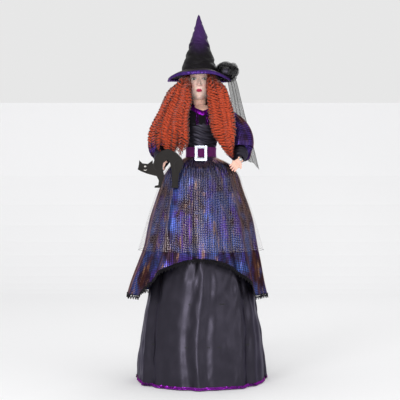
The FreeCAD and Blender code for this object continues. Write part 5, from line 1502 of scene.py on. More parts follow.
@dataclass
class Face:
    """The vinyl head and neck, with a doll's painted face.

    Attributes:
        shape: (height, half width, front depth, back depth) from the chin up.
        lean: how far the head stands to the figure's right.
        eye: place of the left eye and the half width and half height of its opening.
        mouth: height, half width and half height of the mouth.
        brow: height of the brows.
        nose: heights of the nose's root and tip.
        rows: points from the chin to the crown.
        columns: points round the head.
    """

    shape: tuple[tuple[float, float, float, float], ...] = (
        (697, 0.5, 14, 0.5), (699, 9, 25, 6), (703, 15, 30, 14), (710, 21, 32.5, 22), (720, 25.5, 34, 28),
        (733, 29, 35.5, 33), (748, 31, 36.5, 37), (762, 31, 36.5, 38), (776, 28, 32, 36), (788, 20, 23, 28),
        (795, 11, 13, 16), (798, 0.5, 0.5, 0.5))
    lean: float = -4.5
    eye: tuple[float, float, float, float] = (13.6, 748.5, 6.6, 3.3)
    mouth: Triple = (720.0, 7.2, 4.2)
    brow: float = 762.0
    nose: Pair = (752.0, 734.0)
    rows: int = 230
    columns: int = 260

    def relief(self, x: Array, z: Array) -> Array:
        """Height of the features over the plain head: a sum of hills and hollows.

        Args:
            x: across, from the face's middle.
            z: height.

        Returns:
            How far the surface stands out.
        """
        side = np.abs(x)
        eye_x, eye_z, eye_wide, eye_high = self.eye
        mouth_z, mouth_wide, _ = self.mouth
        root, tip = self.nose
        ridge = smooth(root + 6, tip + 1, z) * (1 - smooth(tip - 0.5, tip - 5, z))
        out = 9.0 * ridge ** 1.3 * np.exp(-(x / (2.4 + 1.6 * smooth(root, tip, z))) ** 2)
        out = out + 2.6 * bump(side, z, (4.3, tip - 1.2), (2.1, 2.2))
        out = out - 1.1 * bump(side, z, (2.4, tip - 4.4), (1.3, 0.9))
        out = out - 4.0 * bump(side, z, (eye_x, eye_z + 1), (8.0, 5.6))
        out = out + 2.6 * bump(side, z, (eye_x, eye_z), (eye_wide, eye_high + 1.0))
        lid = self.lid_line(side)
        out = out + 0.7 * np.exp(-((z - lid - 1.4) / 0.9) ** 2) * (1 - smooth(5.5, 8.5, np.abs(side - eye_x)))
        out = out + 1.3 * np.exp(-((z - self.brow_line(side)) / 3.0) ** 2) * (1 - smooth(8, 13,
                                                                                         np.abs(side - 13)))
        out = out + 1.6 * bump(side, z, (17.5, 732), (8.5, 8.0))
        lip = 1 - smooth(mouth_wide * 0.55, mouth_wide * 1.15, side)
        out = out + 1.9 * lip * np.exp(-((z - mouth_z - 1.9) / 1.7) ** 2)
        out = out + 2.5 * lip * np.exp(-((z - mouth_z + 2.2) / 2.0) ** 2)
        out = out - 1.5 * lip * np.exp(-((z - mouth_z) / 0.55) ** 2)
        out = out - 0.5 * bump(x, z, (0, mouth_z + 6.5), (1.3, 2.6))
        return out - 1.2 * bump(x, z, (0, mouth_z - 7.5), (7, 2.0)) + 3.2 * bump(x, z, (0, 704), (9, 6))

    def lid_line(self, side: Array) -> Array:
        """Height of the upper lid: an arch over the eye, highest a little towards the nose."""
        eye_x, eye_z, wide, high = self.eye
        across = np.clip((side - eye_x) / wide, -1, 1)
        return eye_z + high * (1 - across ** 2) * (1 - 0.12 * across) + 0.5 * across

    def brow_line(self, side: Array) -> Array:
        """Height of the brow: an arch that falls away to both ends."""
        return self.brow + 2.6 - 0.030 * (side - 15.5) ** 2

    def paints(self, x: Array, z: Array, front: Array) -> dict[str, Array]:
        """How much of each paint lies at each point, from outlines in heights and widths.

        Args:
            x: across, from the face's middle.
            z: height.
            front: 1 on the front of the head.

        Returns:
            The paint layers by name.
        """
        side = np.abs(x)
        eye_x, eye_z, wide, high = self.eye
        mouth_z, mouth_wide, mouth_high = self.mouth
        across = (side - eye_x) / wide
        upper = self.lid_line(side)
        lower = eye_z - 0.72 * high * np.clip(1 - across ** 2, 0, None)
        within = 1 - smooth(0.93, 1.0, np.abs(across))
        opening = within * smooth(lower - 0.35, lower + 0.25, z) * (1 - smooth(upper - 0.3, upper + 0.3, z))
        gaze = np.hypot(x - np.sign(x) * eye_x - 0.4, z - eye_z - 0.2)
        lash = np.exp(-((z - upper - 0.3) / 0.75) ** 2) * (1 - smooth(1.0, 1.22, np.abs(across)))
        lash = lash + 0.55 * np.exp(-((z - lower) / 0.4) ** 2) * (1 - smooth(0.8, 1.0, np.abs(across)))
        lip_wide = np.clip(1 - (side / mouth_wide) ** 2, 0, 1)
        bow = mouth_z + mouth_high * lip_wide ** 0.6 * (0.86 + 0.2 * bump(side, z * 0, (2.6, 0), (1.6, 1)))
        low = mouth_z - mouth_high * 0.95 * lip_wide ** 0.55
        lips = smooth(low - 0.4, low + 0.4, z) * (1 - smooth(bow - 0.4, bow + 0.4, z)) * (side < mouth_wide)
        brow = np.exp(-((z - self.brow_line(side)) / (0.55 + 0.6 * smooth(22, 9, side))) ** 2)
        brow = brow * smooth(6.0, 8.5, side) * (1 - smooth(20.5, 23, side))
        layers = {
            "blush": 0.55 * bump(side, z, (17, 731), (8, 6)) + 0.25 * bump(x, z, (0, 735), (4, 3)),
            "shadow": 0.5 * np.exp(-((z - upper - 3) / 2.6) ** 2) * (1 - smooth(0.9, 1.4, np.abs(across))),
            "lips": lips, "brows": 0.8 * brow, "sclera": opening,
            "iris": opening * (1 - smooth(2.7, 3.1, gaze)),
            "liner": np.clip(lash, 0, 1), "pupil": opening * (1 - smooth(1.2, 1.5, gaze)),
            # glint: a painted highlight, a small white dot up and towards +X in each eye.
            "glint": (1 - smooth(0.5, 0.8, np.hypot(x - np.sign(x) * eye_x - 1.4,
                                                    z - eye_z - 1.5))) * opening,
        }
        return {name: np.clip(layer, 0, 1) * front for name, layer in layers.items()}

    def head(self) -> Item:
        """The head: ellipses of different front and back depth at each height, plus the face's relief.

        Returns:
            The head, which rides on the head body.
        """
        around = np.arange(self.columns) / self.columns * 2 - 1
        angle = math.pi * (0.5 * around + 0.5 * around ** 3)
        at = np.linspace(0, math.pi, self.rows)
        low, high = self.shape[0][0], self.shape[-1][0]
        height = (low + high) / 2 - (high - low) / 2 * np.cos(at)
        height = 0.75 * height + 0.25 * np.linspace(low, high, self.rows)
        columns = np.array(self.shape).T
        wide, front, back = [profile(list(zip(columns[0], values)), height)[:,
                                                                            None] for values in columns[1:]]
        facing = smooth(-0.25, 0.25, np.cos(angle))
        depth = front * facing + back * (1 - facing)
        x = wide * np.sin(angle) * np.abs(np.cos(angle / 2)) ** -0.08
        y = -depth * np.cos(angle)
        z = np.broadcast_to(height[:, None], x.shape)
        ahead = smooth(0.1, 0.6, np.cos(angle)) * np.ones_like(x)
        y = y - self.relief(x, z) * ahead
        points = np.stack([x + self.lean, y, z], -1)
        values = self.paints(x, z, ahead)
        piece = grid_piece("head_vinyl", points, closed=True, values=values)
        item = outward(piece.make(PAINTED_SKIN))
        close_ends(item)
        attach(item, HEAD)
        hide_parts("head_shell")
        return item

    def neck(self) -> Item:
        """The neck: circles that narrow a little where they go down into the chest.

        Returns:
            The neck, which rides on the head body.
        """
        height = np.linspace(672, 712, 40)
        radius = profile([(672, 13.0), (684, 13.6), (692, 15.2), (712, 15.8)], height)
        line = np.stack([np.full_like(height, self.lean * 0.6) + (height - 672) / 40 * self.lean * 0.4,
                         -1.5 - (height - 672) / 20, height], -1)
        turn = full_turn(72)
        hollow = 1 - 0.03 * np.cos(turn * 2)
        ring = np.stack([np.sin(turn) * hollow, -np.cos(turn), np.zeros_like(turn)], -1)
        points = line[:, None] + ring * radius[:, None, None]
        blush = np.zeros(points.shape[:2])
        piece = grid_piece("neck_vinyl", points, closed=True, values={"blush": blush})
        item = outward(piece.make(BARE_SKIN))
        close_ends(item)
        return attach(item, HEAD)

    def build(self) -> list[Item]:
        """Makes the head and the neck."""
        return [self.head(), self.neck()]


def close_ends(item: Item) -> None:
    """Fills each open end of a tube mesh with a fan of triangles."""
    mesh = bmesh.new()
    mesh.from_mesh(item.data)
    edges = [edge for edge in mesh.edges if edge.is_boundary]
    bmesh.ops.holes_fill(mesh, edges=edges, sides=0)
    big = [face for face in mesh.faces if len(face.verts) > 4]
    bmesh.ops.triangulate(mesh, faces=big)
    mesh.to_mesh(item.data)
    mesh.free()


@dataclass
class HairMass:
    """One mass of curls: locks that leave the scalp and fall between two side lines.

    Attributes:
        name: name of the mass.
        inner: (height, x) of the side line nearer the face, from the tips up.
        outer: (height, x) of the line away from it.
        depth: y of the nearest and farthest locks.
        root: angles of the scalp that the locks leave, from the front, in degrees.
        locks: number of locks.
        tips: lowest and highest tip.
        node: the frame piece that it stands for.
        seed: seed of the locks.
    """

    name: str
    inner: Knots
    outer: Knots
    depth: Pair
    root: Pair
    locks: int
    tips: Pair
    node: str
    seed: int


@dataclass
class Wig:
    """The curled wig: two strands to a lock, wound into springs, over a dark base in painted shade.

    Attributes:
        scalp: radius and height of the ring that the locks leave.
        curl: radius of a lock's spring.
        pitch: length of one turn.
        strand: radius of a strand.
        samples: points along a strand.
        masses: the hanging masses.
    """

    scalp: Pair = (35.0, 766.0)
    curl: float = 6.2
    pitch: float = 15.0
    strand: float = 2.0
    samples: int = 104
    masses: tuple[HairMass, ...] = (
        HairMass("curls_front_right",
                 ((560, -44), (582, -35), (616, -34), (661, -36), (695, -28), (728, -30), (760, -30)),
                 ((560, -112), (575, -124), (595, -125), (627, -119), (650, -108), (683, -92), (705, -80),
                  (728, -64), (745, -50), (760, -42)),
                 (-72, -44), (-54, -104), 66, (556, 612), "wig_locks_right", 101),
        HairMass("curls_front_left",
                 ((556, 66), (572, 56), (595, 43), (616, 32), (661, 25), (695, 21), (728, 19), (760, 21)),
                 ((556, 80), (572, 79), (620, 79), (661, 74), (695, 66), (728, 56), (745, 46), (760, 36)),
                 (-70, -44), (36, 96), 46, (554, 604), "wig_locks_left", 102),
        HairMass("curls_back",
                 ((600, -74), (640, -72), (700, -60), (740, -44), (760, -36)),
                 ((600, 46), (640, 46), (700, 44), (740, 38), (760, 34)),
                 (66, 42), (-100, -260), 70, (598, 640), "wig_locks_back", 103),
        HairMass("curls_crown_right",
                 ((684, -34), (700, -36), (728, -40), (760, -34)),
                 ((684, -60), (700, -60), (728, -54), (760, -42)),
                 (-44, 44), (-58, -130), 34, (682, 716), "wig_crown", 104),
        HairMass("curls_crown_left",
                 ((684, 34), (700, 34), (728, 36), (760, 32)),
                 ((684, 58), (700, 56), (728, 50), (760, 38)),
                 (-44, 44), (52, 130), 30, (682, 716), "wig_crown", 105))

    def centre_lines(self, mass: HairMass, rng: np.random.Generator) -> tuple[Array, Array]:
        """Middle lines of the locks: from the scalp ring, eased over to their place between the side lines.

        Args:
            mass: the mass that they belong to.
            rng: random numbers.

        Returns:
            Points of shape (locks, samples, 3), and each lock's depth share.
        """
        count = mass.locks
        share = np.linspace(0, 1, self.samples)[None]
        place = (rng.permutation(count) + rng.uniform(0.2, 0.8, count))[:, None] / count
        near = rng.uniform(0, 1, (count, 1))
        tip = rng.uniform(mass.tips[0], mass.tips[1], (count, 1))
        short = rng.uniform(0, 1, (count, 1)) < 0.22
        tip = np.where(short, tip + rng.uniform(15, 70, (count, 1)) * (mass.tips[0] < 640), tip)
        turn = np.radians(mass.root[0] + (mass.root[1] - mass.root[0]) * place)
        radius, top = self.scalp
        height = top - 4 * rng.uniform(0, 1, (count, 1)) + (tip - top) * share
        low = max(mass.inner[0][0], mass.outer[0][0])
        level = np.maximum(height, low)
        across = profile(mass.inner, level) * (1 - place) + profile(mass.outer, level) * place
        deep = mass.depth[0] + (mass.depth[1] - mass.depth[0]) * near
        if mass.node == "wig_crown":
            deep = mass.depth[0] + (mass.depth[1] - mass.depth[0]) * place
            across = profile(mass.inner, level) * (1 - near) + profile(mass.outer, level) * near
        over = smooth(0.0, 0.3 if mass.node != "wig_crown" else 0.6, share)
        start_x = radius * np.sin(turn) - 4
        start_y = -radius * np.cos(turn)
        x = start_x + (across - start_x) * over
        y = start_y + (deep - start_y) * over
        sway = rng.uniform(1.0, 3.0, (count, 1)) * np.sin(share * rng.uniform(5, 11, (count, 1)) +
                                                         rng.uniform(0, TURN, (count, 1)))
        return np.stack([x + sway * over, y, height], -1), near

    def build_mass(self, mass: HairMass) -> Item:
        """A mass of curls: each strand is a helix round its lock's line, looser at the tip.

        Args:
            mass: the mass.

        Returns:
            The object, without a body.
        """
        rng = np.random.default_rng(mass.seed)
        line, near = self.centre_lines(mass, rng)
        count = mass.locks
        share = np.linspace(0, 1, self.samples)
        length = np.linalg.norm(np.diff(line, axis=1), axis=-1).sum(axis=1)
        side, up = circle_frame(line)
        hand = rng.choice([-1, 1], (count, 1))
        phase = rng.uniform(0, TURN, (count, 1))
        pitch = self.pitch * rng.uniform(0.75, 1.3, (count, 1))
        size = self.curl * rng.uniform(0.7, 1.25, (count, 1))
        paths, radii, tones = [], [], []
        for strand in range(2):
            turn = phase + strand * TURN / 2.3 + hand * share * length[:, None] / pitch * TURN
            open_up = (0.35 + 0.65 * smooth(0.02, 0.2, share)) * (1 - 0.55 * smooth(0.82, 1.0, share))
            reach = size * open_up * (0.85 + 0.3 * rng.uniform(0, 1, (count, 1)))
            path = line + (np.cos(turn)[..., None] * side + np.sin(turn)[..., None] * up) * reach[..., None]
            paths.append(path)
            radii.append(self.strand * (1 - 0.75 * smooth(0.86, 1.0, share)) * np.ones((count, 1)))
            # Painted highlight and shade: each strand is lighter on the outer side of its curl and darker on
            # the inner side, and the deeper locks are darker. The tone is also darker near the scalp, lighter
            # towards the tips, and random for each lock.
            outside = math.copysign(1, mass.depth[0]) * (path - line)[..., 1] / (reach + 0.1)
            painted_highlight = np.clip(0.5 + 0.5 * outside, 0, 1) ** 3.0
            lit = 0.22 * rng.uniform(0, 1, (count, 1)) + 0.12 * share ** 2 + 0.85 * painted_highlight
            tones.append(lit - 0.2 * (1 - smooth(0, 0.12, share)) - 0.15 * near)
        path, radius, tone = np.concatenate(paths), np.concatenate(radii), np.concatenate(tones)
        grids = tube_grid(path, radius, 3)
        tone = np.broadcast_to(tone[..., None], grids.shape[:3])
        piece = many_grids(mass.name, grids, {"tone": np.clip(tone, 0, 1)})
        return piece.make(HAIR)

    def base(self, mass: HairMass) -> Item:
        """The dark mass under the curls, painted as the shade between them: flattened ellipses between the
        side lines.

        Args:
            mass: the mass.

        Returns:
            The object, without a body.
        """
        height = np.linspace(mass.tips[1] + 2, 752, 60)
        inner, outer = profile(mass.inner, height), profile(mass.outer, height)
        middle = (inner + outer) / 2
        half = np.abs(outer - inner) / 2 * profile([(0, 0.15), (0.2, 0.62), (0.8, 0.74), (1, 0.3)],
                                                   np.linspace(0, 1, 60))
        deep = np.mean(mass.depth) * smooth(775, 700, height) + math.copysign(20, np.mean(mass.depth)) * (
            smooth(700, 775, height))
        turn = full_turn(40)
        lumps = 1 + 0.12 * np.cos(turn[None] * 5 + height[:, None] / 7)
        points = np.stack([middle[:, None] + half[:, None] * np.cos(turn) * lumps,
                           deep[:, None] + 5.5 * np.sin(turn) * lumps,
                           height[:, None] + 0 * lumps], -1)
        item = grid_piece(f"{mass.name}_base", points, closed=True).make(HAIR_SHADOW)
        outward(item)
        close_ends(item)
        return item

    def cap(self) -> Item:
        """The wig's cap: a bumpy shell round the skull that leaves the face open, in the base's dark painted
        shade.

        Returns:
            The cap, which rides on the head body.
        """
        angle = np.radians(np.linspace(36, 324, 150))
        height = np.linspace(690, 786, 60)[:, None]
        radius = profile([(690, 34), (715, 40), (745, 43), (770, 40), (786, 33)], height)
        radius = radius + 1.4 * np.cos(angle * 23 + height / 3) + 1.2 * np.cos(height / 2.3 + angle * 9)
        points = np.stack([radius * np.sin(angle) - 4.5, -radius * np.cos(angle), height + 0 * radius], -1)
        item = grid_piece("wig_cap", points).make(HAIR_SHADOW)
        item = thicken(item, 3.0)
        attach(item, HEAD)
        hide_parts("wig_crown")
        return item

    def build(self) -> list[Item]:
        """Makes the cap, the curls and their base: the crown's curls ride on the head body, and the others
        keep their baked places.
        """
        made = [self.cap()]
        for mass in self.masses:
            curls = self.build_mass(mass)
            made.append(curls)
            if mass.node == "wig_crown":
                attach(curls, HEAD)
                continue
            base = self.base(mass)
            made.append(base)
            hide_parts(mass.node)
            for item in (curls, base):
                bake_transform(item)
        return made


# ------------------------------------------------------------------ hat

@dataclass
class Hat:
    """The crushed pointed hat: cone, drooping brim, satin binding, net rosette.

    Attributes:
        cone: (height, radius) of the cone, from the brim up.
        lean: how far the hat stands to the figure's right.
        rim: radius of the brim without its binding.
        top: height of the brim beside the cone.
        droop: radius of the bend that lowers both sides.
        dip: how far the front and back edges lie below the brim's top.
        binding: width of the satin binding.
        rosette: centre of the rosette.
    """

    cone: Knots = (
        (768, 44.5), (782, 42.5), (807, 35), (833, 26), (855, 20.3), (882, 11), (903, 4.6), (910, 2.6),
        (913.5, 0.4))
    lean: float = -4.5
    rim: float = 75.0
    top: float = 776.0
    droop: float = 120.0
    dip: float = 13.0
    binding: float = 5.0
    rosette: Triple = (64.0, -14.0, 768.0)

    def brim_height(self, x: Array, y: Array) -> Array:
        """Height of the brim: a circle's bend to both sides, a parabola's dip to front and back."""
        return (self.top - self.dip * (y / self.rim) ** 2 - x ** 2 / (2 * self.droop)
                + 1.2 * np.sin(np.arctan2(y, x) * 5 + 1))

    def crown(self) -> Item:
        """The cone: circles of the profile's radius, pressed in by slanting folds.

        Returns:
            The cone, which rides on the head body.
        """
        turn = full_turn(200)
        share = np.linspace(0, 1, 190)[:, None]
        height = self.cone[0][0] + (self.cone[-1][0] - self.cone[0][0]) * share
        radius = profile(self.cone, height) * np.ones_like(turn)
        folds = ((800, 9, -2.4, 5.0, -2.2), (812, -12, -2.0, 4.0, 2.9), (826, 14, -2.6, 4.5, -1.6),
                 (838, -8, -1.8, 3.5, 0.2), (856, 7, -1.8, 4.0, 2.4), (872, -6, -1.3, 3.5, -1.2),
                 (888, 4, -0.8, 3.0, 1.0), (790, 5, -1.6, 4.0, 0.9))
        for level, slant, press, spread, centre in folds:
            around = np.angle(np.exp(1j * (turn - centre)))
            line = level + slant * np.sin(around)
            mask = 0.25 + 0.75 * np.exp(-(around / 1.3) ** 2)
            radius = radius + press * mask * np.exp(-((height - line) / spread) ** 2)
            radius = radius - 0.55 * press * mask * np.exp(-((height - line - 1.8 * spread) / spread) ** 2)
        hold = 1 - smooth(0.9, 1.0, share)
        radius = radius + hold * (0.7 * waves(turn + height / 25, (3, 5, 8), 61))
        tilt = self.lean + 1.5 * np.sin(share * 4) * share
        points = np.stack([radius * np.sin(turn) + tilt, -radius * np.cos(turn) + 0 * height,
                           height + 0 * turn], -1)
        tone = smooth(0.28, 0.75, share + 0.06 * np.cos(turn * 2)) * 0.9
        item = grid_piece("hat_cone_cloth", points, closed=True, values={"height": tone}).make(HAT_CLOTH)
        close_ends(outward(item))
        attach(item, HEAD)
        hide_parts("hat_cone")
        return item

    def brim(self) -> Item:
        """The brim: rings from inside the cone to the rim on the brim's height, with thickness.

        Returns:
            The brim, which rides on the head body.
        """
        turn = full_turn(240)
        radius = np.linspace(34, self.rim + 2, 30)[:, None]
        x, y = radius * np.sin(turn), -radius * np.cos(turn)
        points = np.stack([x + self.lean, y, self.brim_height(x, y)], -1)
        item = grid_piece("hat_brim_cloth", points, closed=True).make(HAT_UNDERSIDE)
        item = thicken(item, 2.0)
        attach(item, HEAD)
        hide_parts("hat_brim")
        return item

    def edge(self) -> Item:
        """The binding: a flat oval tube along the rim, with small gathers.

        Returns:
            The binding, which rides on the head body.
        """
        turn = full_turn(480)
        oval = np.arange(16)[:, None] / 16 * TURN
        gather = 0.35 * np.cos(turn * 46 + 2 * np.sin(turn * 5))
        out = self.rim + self.binding * 0.35 + (self.binding / 2 + gather) * np.cos(oval)
        x, y = out * np.sin(turn), -out * np.cos(turn)
        lift = (3.0 + 1.8 * np.cos(turn) ** 2 + 0.5 * gather) * np.sin(oval)
        points = np.stack([x + self.lean, y, self.brim_height(x, y) - 1.8 + lift], -1)
        points = np.concatenate([points, points[:1]])
        item = grid_piece("hat_brim_binding", points, closed=True).make(HAT_BINDING)
        item = outward(apply_modifier(item, "WELD", merge_threshold=0.01 * MM))
        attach(item, HEAD)
        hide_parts("hat_binding")
        return item

    def loops(self, name: str, count: int, reach: Pair, width: float, seed: int,
              finish: object) -> Item:
        """Loops of ribbon: each runs out along a direction and back, drawn as a teardrop.

        Args:
            name: name of the piece.
            count: number of loops.
            reach: shortest and longest loop.
            width: width of the ribbon.
            seed: seed of the directions.
            finish: the finish.

        Returns:
            The loops, which ride on the head body.
        """
        rng = np.random.default_rng(seed)
        away = rng.normal(0, 1, (count, 3)) * (1.0, 0.8, 0.85) + (0.25, -0.15, 0.30)
        away = unit(away)
        bow = np.cross(away, rng.normal(0, 1, (count, 3)))
        bow = unit(bow)
        across = np.cross(away, bow)
        far = rng.uniform(*reach, (count, 1, 1))
        t = np.linspace(0, 1, 22)[None, :, None]
        line = away[:, None] * far * np.sin(math.pi * t) + bow[:, None] * far * 0.42 * np.sin(TURN * t)
        wide = across[:, None] * width * (0.35 + 0.65 * np.sin(math.pi * t))
        step = np.linspace(-0.5, 0.5, 6)
        ripple = 1.2 * np.sin(t * 21 + rng.uniform(0, TURN, (count, 1, 1)))[..., None] * bow[:, None, None]
        points = line[:, :, None] + wide[:, :, None] * step[:, None] + ripple * np.abs(step)[:, None]
        flat = np.array(self.rosette) + points * (1.0, 0.8, 0.9)
        rows = np.broadcast_to((t[..., 0] * far[..., 0] * 2)[..., None], flat.shape[:3])
        uv = np.stack([rows, np.broadcast_to(step * width, flat.shape[:3])], -1) * MM
        piece = many_grids(name, flat, closed=False)
        piece.uv = uv.reshape(-1, 2)
        item = piece.make(finish)
        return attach(item, HEAD)

    def core(self) -> Item:
        """The rosette's gathered middle: a sphere with deep ripples.

        Returns:
            The core, which rides on the head body.
        """
        up = np.linspace(0.02, math.pi - 0.02, 60)[:, None]
        turn = full_turn(120)
        ripple = 1 + 0.10 * np.cos(turn * 9 + up * 4) + 0.08 * np.cos(up * 15 + 3 * np.sin(turn * 3))
        points = np.stack([23 * np.sin(up) * np.cos(turn) * ripple, 16 * np.sin(up) * np.sin(turn) * ripple,
                           18 * np.cos(up) * ripple], -1) + np.array(self.rosette)
        item = grid_piece("rosette_core", points, closed=True).make(BLACK_VELVET)
        close_ends(outward(item))
        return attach(item, HEAD)

    def build(self) -> list[Item]:
        """Makes every piece of the hat."""
        net = self.loops("rosette_net_loops", 44, (20, 33), 17, 71, ROSETTE_NET)
        ribbon = self.loops("rosette_ribbon_loops", 26, (15, 25), 11, 72, SATIN)
        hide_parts("hat_rosette")
        return [self.crown(), self.brim(), self.edge(), net, ribbon, self.core()]


@dataclass
class Veil:
    """The net veil that hangs from the rosette down behind the left sleeve.

    Attributes:
        left: (height, x) of the edge nearer the hair.
        right: (height, x) of the outer edge.
        deep: (height, y) of the veil's middle.
        top: height of the gathered top.
    """

    left: Knots = (
        (522, 147.5), (545, 116), (580, 100), (630, 88), (675, 80), (710, 76), (745, 68), (760, 66))
    right: Knots = (
        (522, 149.5), (560, 141), (600, 131), (650, 117), (700, 103), (735, 93), (760, 84))
    deep: Knots = ((522, 50), (600, 50), (680, 46), (720, 26), (745, 2), (760, -8))
    top: float = 756.0

    def points(self, shift: float, seed: int, rows: int = 120, columns: int = 90) -> tuple[Array, Array]:
        """Points of the veil and their cloth places: side lines, with pleats across that open downwards.

        Args:
            shift: how far this fold lies behind the first.
            seed: seed of the pleats.
            rows: points down.
            columns: points across.

        Returns:
            Points and cloth places in metres.
        """
        share = np.linspace(0, 1, rows)[:, None]
        place = np.linspace(0, 1, columns)[None]
        bottom = 524 + 34 * (1 - place) ** 0.8 + 3 * np.sin(place * 14)
        height = self.top + (bottom - self.top) * share
        left, right = profile(self.left, height), profile(self.right, height)
        x = left + (right - left) * (place + 0.03 * np.sin(place * 25 + seed))
        pleat = waves(place * TURN * 0.9 + 0.4 * share, (5, 8, 11), seed)
        y = profile(self.deep, height) + shift + pleat * (1.5 + 4.5 * smooth(0.05, 0.6, share))
        cloth = np.stack([place * 160 + 0 * share, share * 240 + 0 * place], -1) * MM
        return np.stack([x, y, height], -1), cloth

    def build(self) -> list[Item]:
        """Makes the two layers of net and cords down four of its columns, all with their transforms baked in.
        """
        made = []
        for index, (shift, seed) in enumerate(((0.0, 81), (4.0, 86))):
            points, cloth = self.points(shift, seed)
            name = ("veil_tulle_front", "veil_tulle_back")[index]
            item = grid_piece(name, points, uv=cloth).make(VEIL_TULLE)
            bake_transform(item)
            made.append(item)
        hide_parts("veil_upper", "veil_lower")
        points, _ = self.points(0.0, 81)
        lines = np.stack([points[:, column] for column in (0, 30, 55, 89)])
        grids = tube_grid(lines, np.full(lines.shape[:2], 0.55), 5)
        edge = many_grids("veil_fold_cords", grids).make(LACE, VEIL_TULLE.slot)
        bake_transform(edge)
        return made + [edge]


# ------------------------------------------------------------------ cat

@dataclass
class CatPrint:
    """The ink on the card cat: a pale eye with a dark ring, a muzzle mark and dark body lines.

    Attributes:
        ink: how far the ink stands on the card.
    """

    ink: float = 0.25

    def disc(self, name: str, centre: Pair, radius: Pair, lift: float,
             finish: object) -> Item:
        """A flat oval of ink on the card's front, domed to its middle.

        Args:
            name: name of the piece.
            centre: its place as shares of the card's width and height.
            radius: half width and half height.
            lift: height over the card.
            finish: the ink.

        Returns:
            The oval, which rides the right forearm.
        """
        low, high = corners("cat_board")
        x = low[0] + centre[0] * (high[0] - low[0])
        z = low[2] + centre[1] * (high[2] - low[2])
        turn = full_turn(28)
        size = np.array([1.0, 0.9, 0.5, 0.02])[:, None]
        rise = np.array([-0.1, 0.75, 1.0, 1.0])[:, None] * lift
        points = np.stack([x + radius[0] * size * np.cos(turn), low[1] - rise + 0 * turn,
                           z + radius[1] * size * np.sin(turn)], -1)
        item = grid_piece(name, points, closed=True).make(finish)
        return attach(item, "forearm_right")

    def line(self, name: str, knots: Sequence[Pair], width: float, finish: object) -> Item:
        """A drawn line: a flattened tube through knots on the card's front.

        Args:
            name: name of the piece.
            knots: places as shares of the card's width and height.
            width: width of the line.
            finish: the ink.

        Returns:
            The line, which rides the right forearm.
        """
        low, high = corners("cat_board")
        at = np.linspace(0, 1, len(knots))
        share = np.linspace(0, 1, 40)
        x = low[0] + profile(list(zip(at, [x for x, _ in knots])), share) * (high[0] - low[0])
        z = low[2] + profile(list(zip(at, [z for _, z in knots])), share) * (high[2] - low[2])
        path = np.stack([x, np.full_like(x, low[1]), z], -1)
        taper = np.sin(np.clip(share, 0.02, 0.98) * math.pi) ** 0.4
        grid = tube_grid(path, width / 2 * taper, 8)
        grid[..., 1] = low[1] + (grid[..., 1] - low[1]) * self.ink * 2 / width
        item = grid_piece(name, grid, closed=True).make(finish)
        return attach(item, "forearm_right")

    def build(self) -> list[Item]:
        """Makes the marks on the card."""
        return [
            self.disc("cat_eye_ring", (0.165, 0.545), (4.6, 3.6), 0.3, CARD_DARK),
            self.disc("cat_eye_white", (0.165, 0.545), (2.5, 1.9), 0.5, CARD_PALE),
            self.disc("cat_eye_pupil", (0.168, 0.545), (0.9, 1.1), 0.6, CARD_DARK),
            self.line("cat_whiskers", ((0.13, 0.46), (0.165, 0.445), (0.20, 0.465)), 1.5, CARD_PALE),
            self.line("cat_brow_line", ((0.10, 0.59), (0.16, 0.61), (0.23, 0.59)), 0.9, CARD_DARK),
            self.line("cat_shoulder_line", ((0.38, 0.66), (0.35, 0.54), (0.42, 0.42)), 0.9, CARD_DARK),
            self.line("cat_haunch_line", ((0.93, 0.74), (0.80, 0.62), (0.82, 0.40)), 0.9, CARD_DARK),
        ]


# ------------------------------------------------------------------ studio

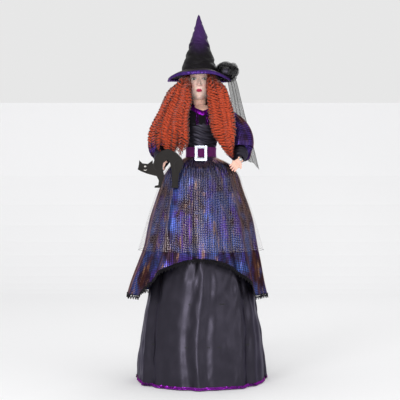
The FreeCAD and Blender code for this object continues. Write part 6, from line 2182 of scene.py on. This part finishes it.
@dataclass
class Studio:
    """Pale floor, soft lights and the camera.

    Attributes:
        camera_place: place of the camera in metres.
        focal: focal length of the lens in millimetres.
        sensor: width of the sensor in millimetres.
        sky: strength of the pale surroundings.
        lamps: name, place, aim, side and watts of each light, with lengths in metres.
    """

    camera_place: Triple = (-0.0025, -2.54, 0.449)
    focal: float = 91.2
    sensor: float = 36.0
    sky: float = 0.8
    lamps: tuple[tuple[str, Triple, Triple, float, float], ...] = (
        ("key_light", (-1.3, -2.4, 1.7), (0, 0, 0.5), 0.9, 22),
        ("fill_light", (2.2, -1.8, 1.0), (0, 0, 0.5), 1.2, 8),
        ("front_light", (-0.1, -3.0, 0.72), (0, 0, 0.6), 0.8, 28),
        ("rim_light", (0.8, 2.0, 2.2), (0, 0, 0.6), 1.2, 8))

    def floor(self) -> None:
        """A white sheet that lies under the figure and curves up behind it."""
        run = np.linspace(-4, 3.2, 80)
        rise = np.where(run > 2.2, 1.0 - np.sqrt(np.clip(1 - (run - 2.2) ** 2, 0, None)), 0)
        x = np.linspace(-4, 4, 5)
        points = np.stack([np.broadcast_to(x, (80, 5)), np.broadcast_to(run[:, None], (80, 5)),
                           np.broadcast_to(rise[:, None] - 0.0005, (80, 5))], -1)
        material, _, shader = blank("white_paper_sheet")
        shader.inputs["Base Color"].default_value = colour("#f4f4f5")
        shader.inputs["Roughness"].default_value = 0.9
        mesh = bpy.data.meshes.new("studio_floor")
        mesh.from_pydata(points.reshape(-1, 3).tolist(), [], grid_faces(80, 5).tolist())
        mesh.materials.append(material)
        floor = bpy.data.objects.new("studio_floor", mesh)
        bpy.context.scene.collection.objects.link(floor)

    def light(self, name: str, place: Triple, aim: Triple, size: float,
              power: float) -> None:
        """Adds a square soft light.

        Args:
            name: its name.
            place: its place.
            aim: the point that it faces.
            size: length of its side.
            power: its power in watts.
        """
        lamp = bpy.data.lights.new(name, "AREA")
        lamp.size = size
        lamp.energy = power
        item = bpy.data.objects.new(name, lamp)
        item.location = place
        bpy.context.scene.collection.objects.link(item)
        away = np.array(place) - np.array(aim)
        item.rotation_euler = (math.atan2(math.hypot(away[0], away[1]), away[2]), 0,
                               math.atan2(away[1], away[0]) + math.pi / 2)

    def build(self) -> None:
        """Makes the floor, the lights, the pale surroundings and the camera."""
        self.floor()
        for lamp in self.lamps:
            self.light(*lamp)
        world = bpy.data.worlds.new("pale_studio")
        world.use_nodes = True
        world.node_tree.nodes["Background"].inputs["Color"].default_value = colour("#ffffff")
        world.node_tree.nodes["Background"].inputs["Strength"].default_value = self.sky
        bpy.context.scene.world = world
        bpy.context.scene.view_settings.view_transform = "Standard"
        lens = bpy.data.cameras.new("camera")
        lens.lens = self.focal
        lens.sensor_width = self.sensor
        camera = bpy.data.objects.new("camera", lens)
        camera.location = self.camera_place
        camera.rotation_euler = (math.pi / 2, 0, 0)
        bpy.context.scene.collection.objects.link(camera)
        bpy.context.scene.camera = camera


def main(frame: dict) -> None:
    """Builds every part of the figure round its frame and reports each piece.

    Args:
        frame: the loaded frame.
    """
    logging.basicConfig(level=logging.INFO, format="%(message)s")
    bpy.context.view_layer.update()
    Studio().build()
    dress_frame(frame["record"], frame["nodes"])
    skirts = Skirts()
    made = skirts.build() + Torso().build(skirts)
    made += Arm(1, (96.0, -62.0, 548.0), (-0.55, -0.35, -0.62), (0.25, -0.9, 0.2), 0.35).build()
    made += Arm(-1, (-96.0, -84.0, 526.0), (0.12, 0.0, 1.0), (0.0, 1.0, 0.0), 0.3).build()
    made += Face().build() + Wig().build() + Hat().build() + Veil().build() + CatPrint().build()
    for item in made:
        log.info("%s: %d faces", item.name, len(item.data.polygons))


if __name__ == "__main__":
    main(frame)
